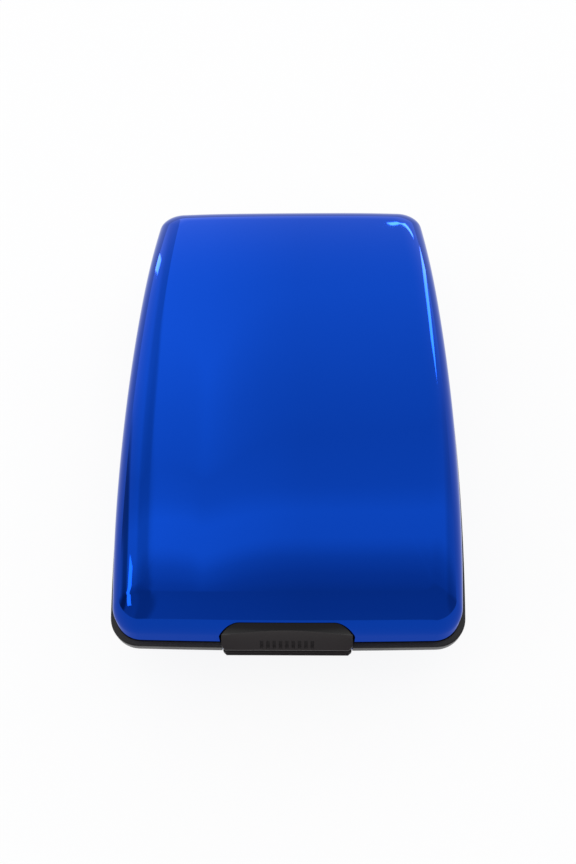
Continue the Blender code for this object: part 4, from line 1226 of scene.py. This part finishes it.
def painted_sky():
    world = bpy.data.worlds.new("painted_sky")
    world.use_nodes = True
    tree = world.node_tree
    way = add(tree, "ShaderNodeTexCoord").outputs["Generated"]
    part = add(tree, "ShaderNodeSeparateXYZ", {"Vector": way})
    shift = sky_ramp(tree, part.outputs["X"], EDGE_STOPS)
    shift = add(tree, "ShaderNodeMath", {0: shift, 1: EDGE_SHIFT}, operation="MULTIPLY")
    far = add(tree, "ShaderNodeMath", {0: part.outputs["Y"], 1: shift}, operation="ADD")
    level = sky_ramp(tree, part.outputs["X"], SIDE_STOPS)
    strength = add(
        tree, "ShaderNodeMath", {0: level, 1: SKY_STRENGTH / CENTRE_LEVEL}, operation="MULTIPLY"
    )
    sky = tree.nodes["Background"]
    fill(tree, sky, {"Strength": strength, "Color": sky_ramp(tree, far, SKY_STOPS)})
    return world


scene.world = painted_sky()
print("sky stops:", len(SKY_STOPS))

# %% The streak lamps
# A lamp is placed by the direction it is seen in from the case: along is the angle from the far
# horizon up over the zenith, and across is the angle out to the side.
LAMP_DISTANCE = 1.2


def seen_in(along, across):
    along, across = math.radians(along), math.radians(across)
    level = math.cos(across)
    return Vector((math.sin(across), level * math.cos(along), level * math.sin(along)))


def streak_lamp(name, start, end, width, radiance):
    """A long lamp between two directions, as (along, across) pairs, that faces the case."""
    start, end = seen_in(*start) * LAMP_DISTANCE, seen_in(*end) * LAMP_DISTANCE
    light = bpy.data.lights.new(name, "AREA")
    light.shape = "RECTANGLE"
    light.size = width
    light.size_y = (end - start).length
    light.energy = radiance * math.pi * light.size * light.size_y
    middle = (start + end) / 2
    back = middle.normalized()
    length = (end - start).normalized()
    across = length.cross(back).normalized()
    turn = Matrix((across, back.cross(across), back)).transposed().to_4x4()
    turn.translation = middle
    lamp = bpy.data.objects.new(name, light)
    lamp.matrix_world = turn
    scene.collection.objects.link(lamp)


streak_lamp("left_lamp", (86, -50), (150, -50), 0.2, 3.6)
streak_lamp("left_far_lamp", (0, -42), (17, -40), 0.09, 7.0)
streak_lamp("right_far_lamp", (-2, 40), (34, 47), 0.12, 7.0)
streak_lamp("far_corner_lamp", (23.5, 9), (12, 31), 0.035, 10.0)

# %% [markdown]
# The floor is white card. Card in this light would come out a very pale grey, so to the camera,
# and in reflections and through clear film, most of it is a plain white glow. The rest is lit in
# the usual way and keeps the soft shadow under the case.

# %% The floor
FLOOR_GLOW = 0.9
FIBRE_SCALE = 1 / (1.5 * MM)


def white_card():
    material, tree, shader, place = start_material("white_card")
    fibre = add(tree, "ShaderNodeTexNoise", {"Vector": place, "Scale": FIBRE_SCALE, "Detail": 2.0})
    roughness = add(tree, "ShaderNodeMapRange", {"Value": fibre, "To Min": 0.6, "To Max": 0.8})
    fill(tree, shader, {"Base Color": linear("F4F4F4"), "Roughness": roughness})
    ray = add(tree, "ShaderNodeLightPath").outputs
    seen = add(
        tree, "ShaderNodeMath", {0: ray["Is Camera Ray"], 1: ray["Is Glossy Ray"]},
        operation="MAXIMUM",
    )
    seen = add(
        tree, "ShaderNodeMath", {0: seen, 1: ray["Is Transmission Ray"]}, operation="MAXIMUM"
    )
    share = add(tree, "ShaderNodeMath", {0: seen, 1: FLOOR_GLOW}, operation="MULTIPLY")
    glow = add(tree, "ShaderNodeEmission", {"Color": (1, 1, 1, 1), "Strength": 1.0})
    mixed = add(tree, "ShaderNodeMixShader", {0: share, 1: shader, 2: glow})
    fill(tree, tree.nodes["Material Output"], {"Surface": mixed})
    return material


bm = bmesh.new()
bmesh.ops.create_grid(bm, x_segments=1, y_segments=1, size=2)
floor = make_object("floor", bm)
floor.data.materials.append(white_card())
print("floor, m:", [round(size, 2) for size in floor.dimensions])
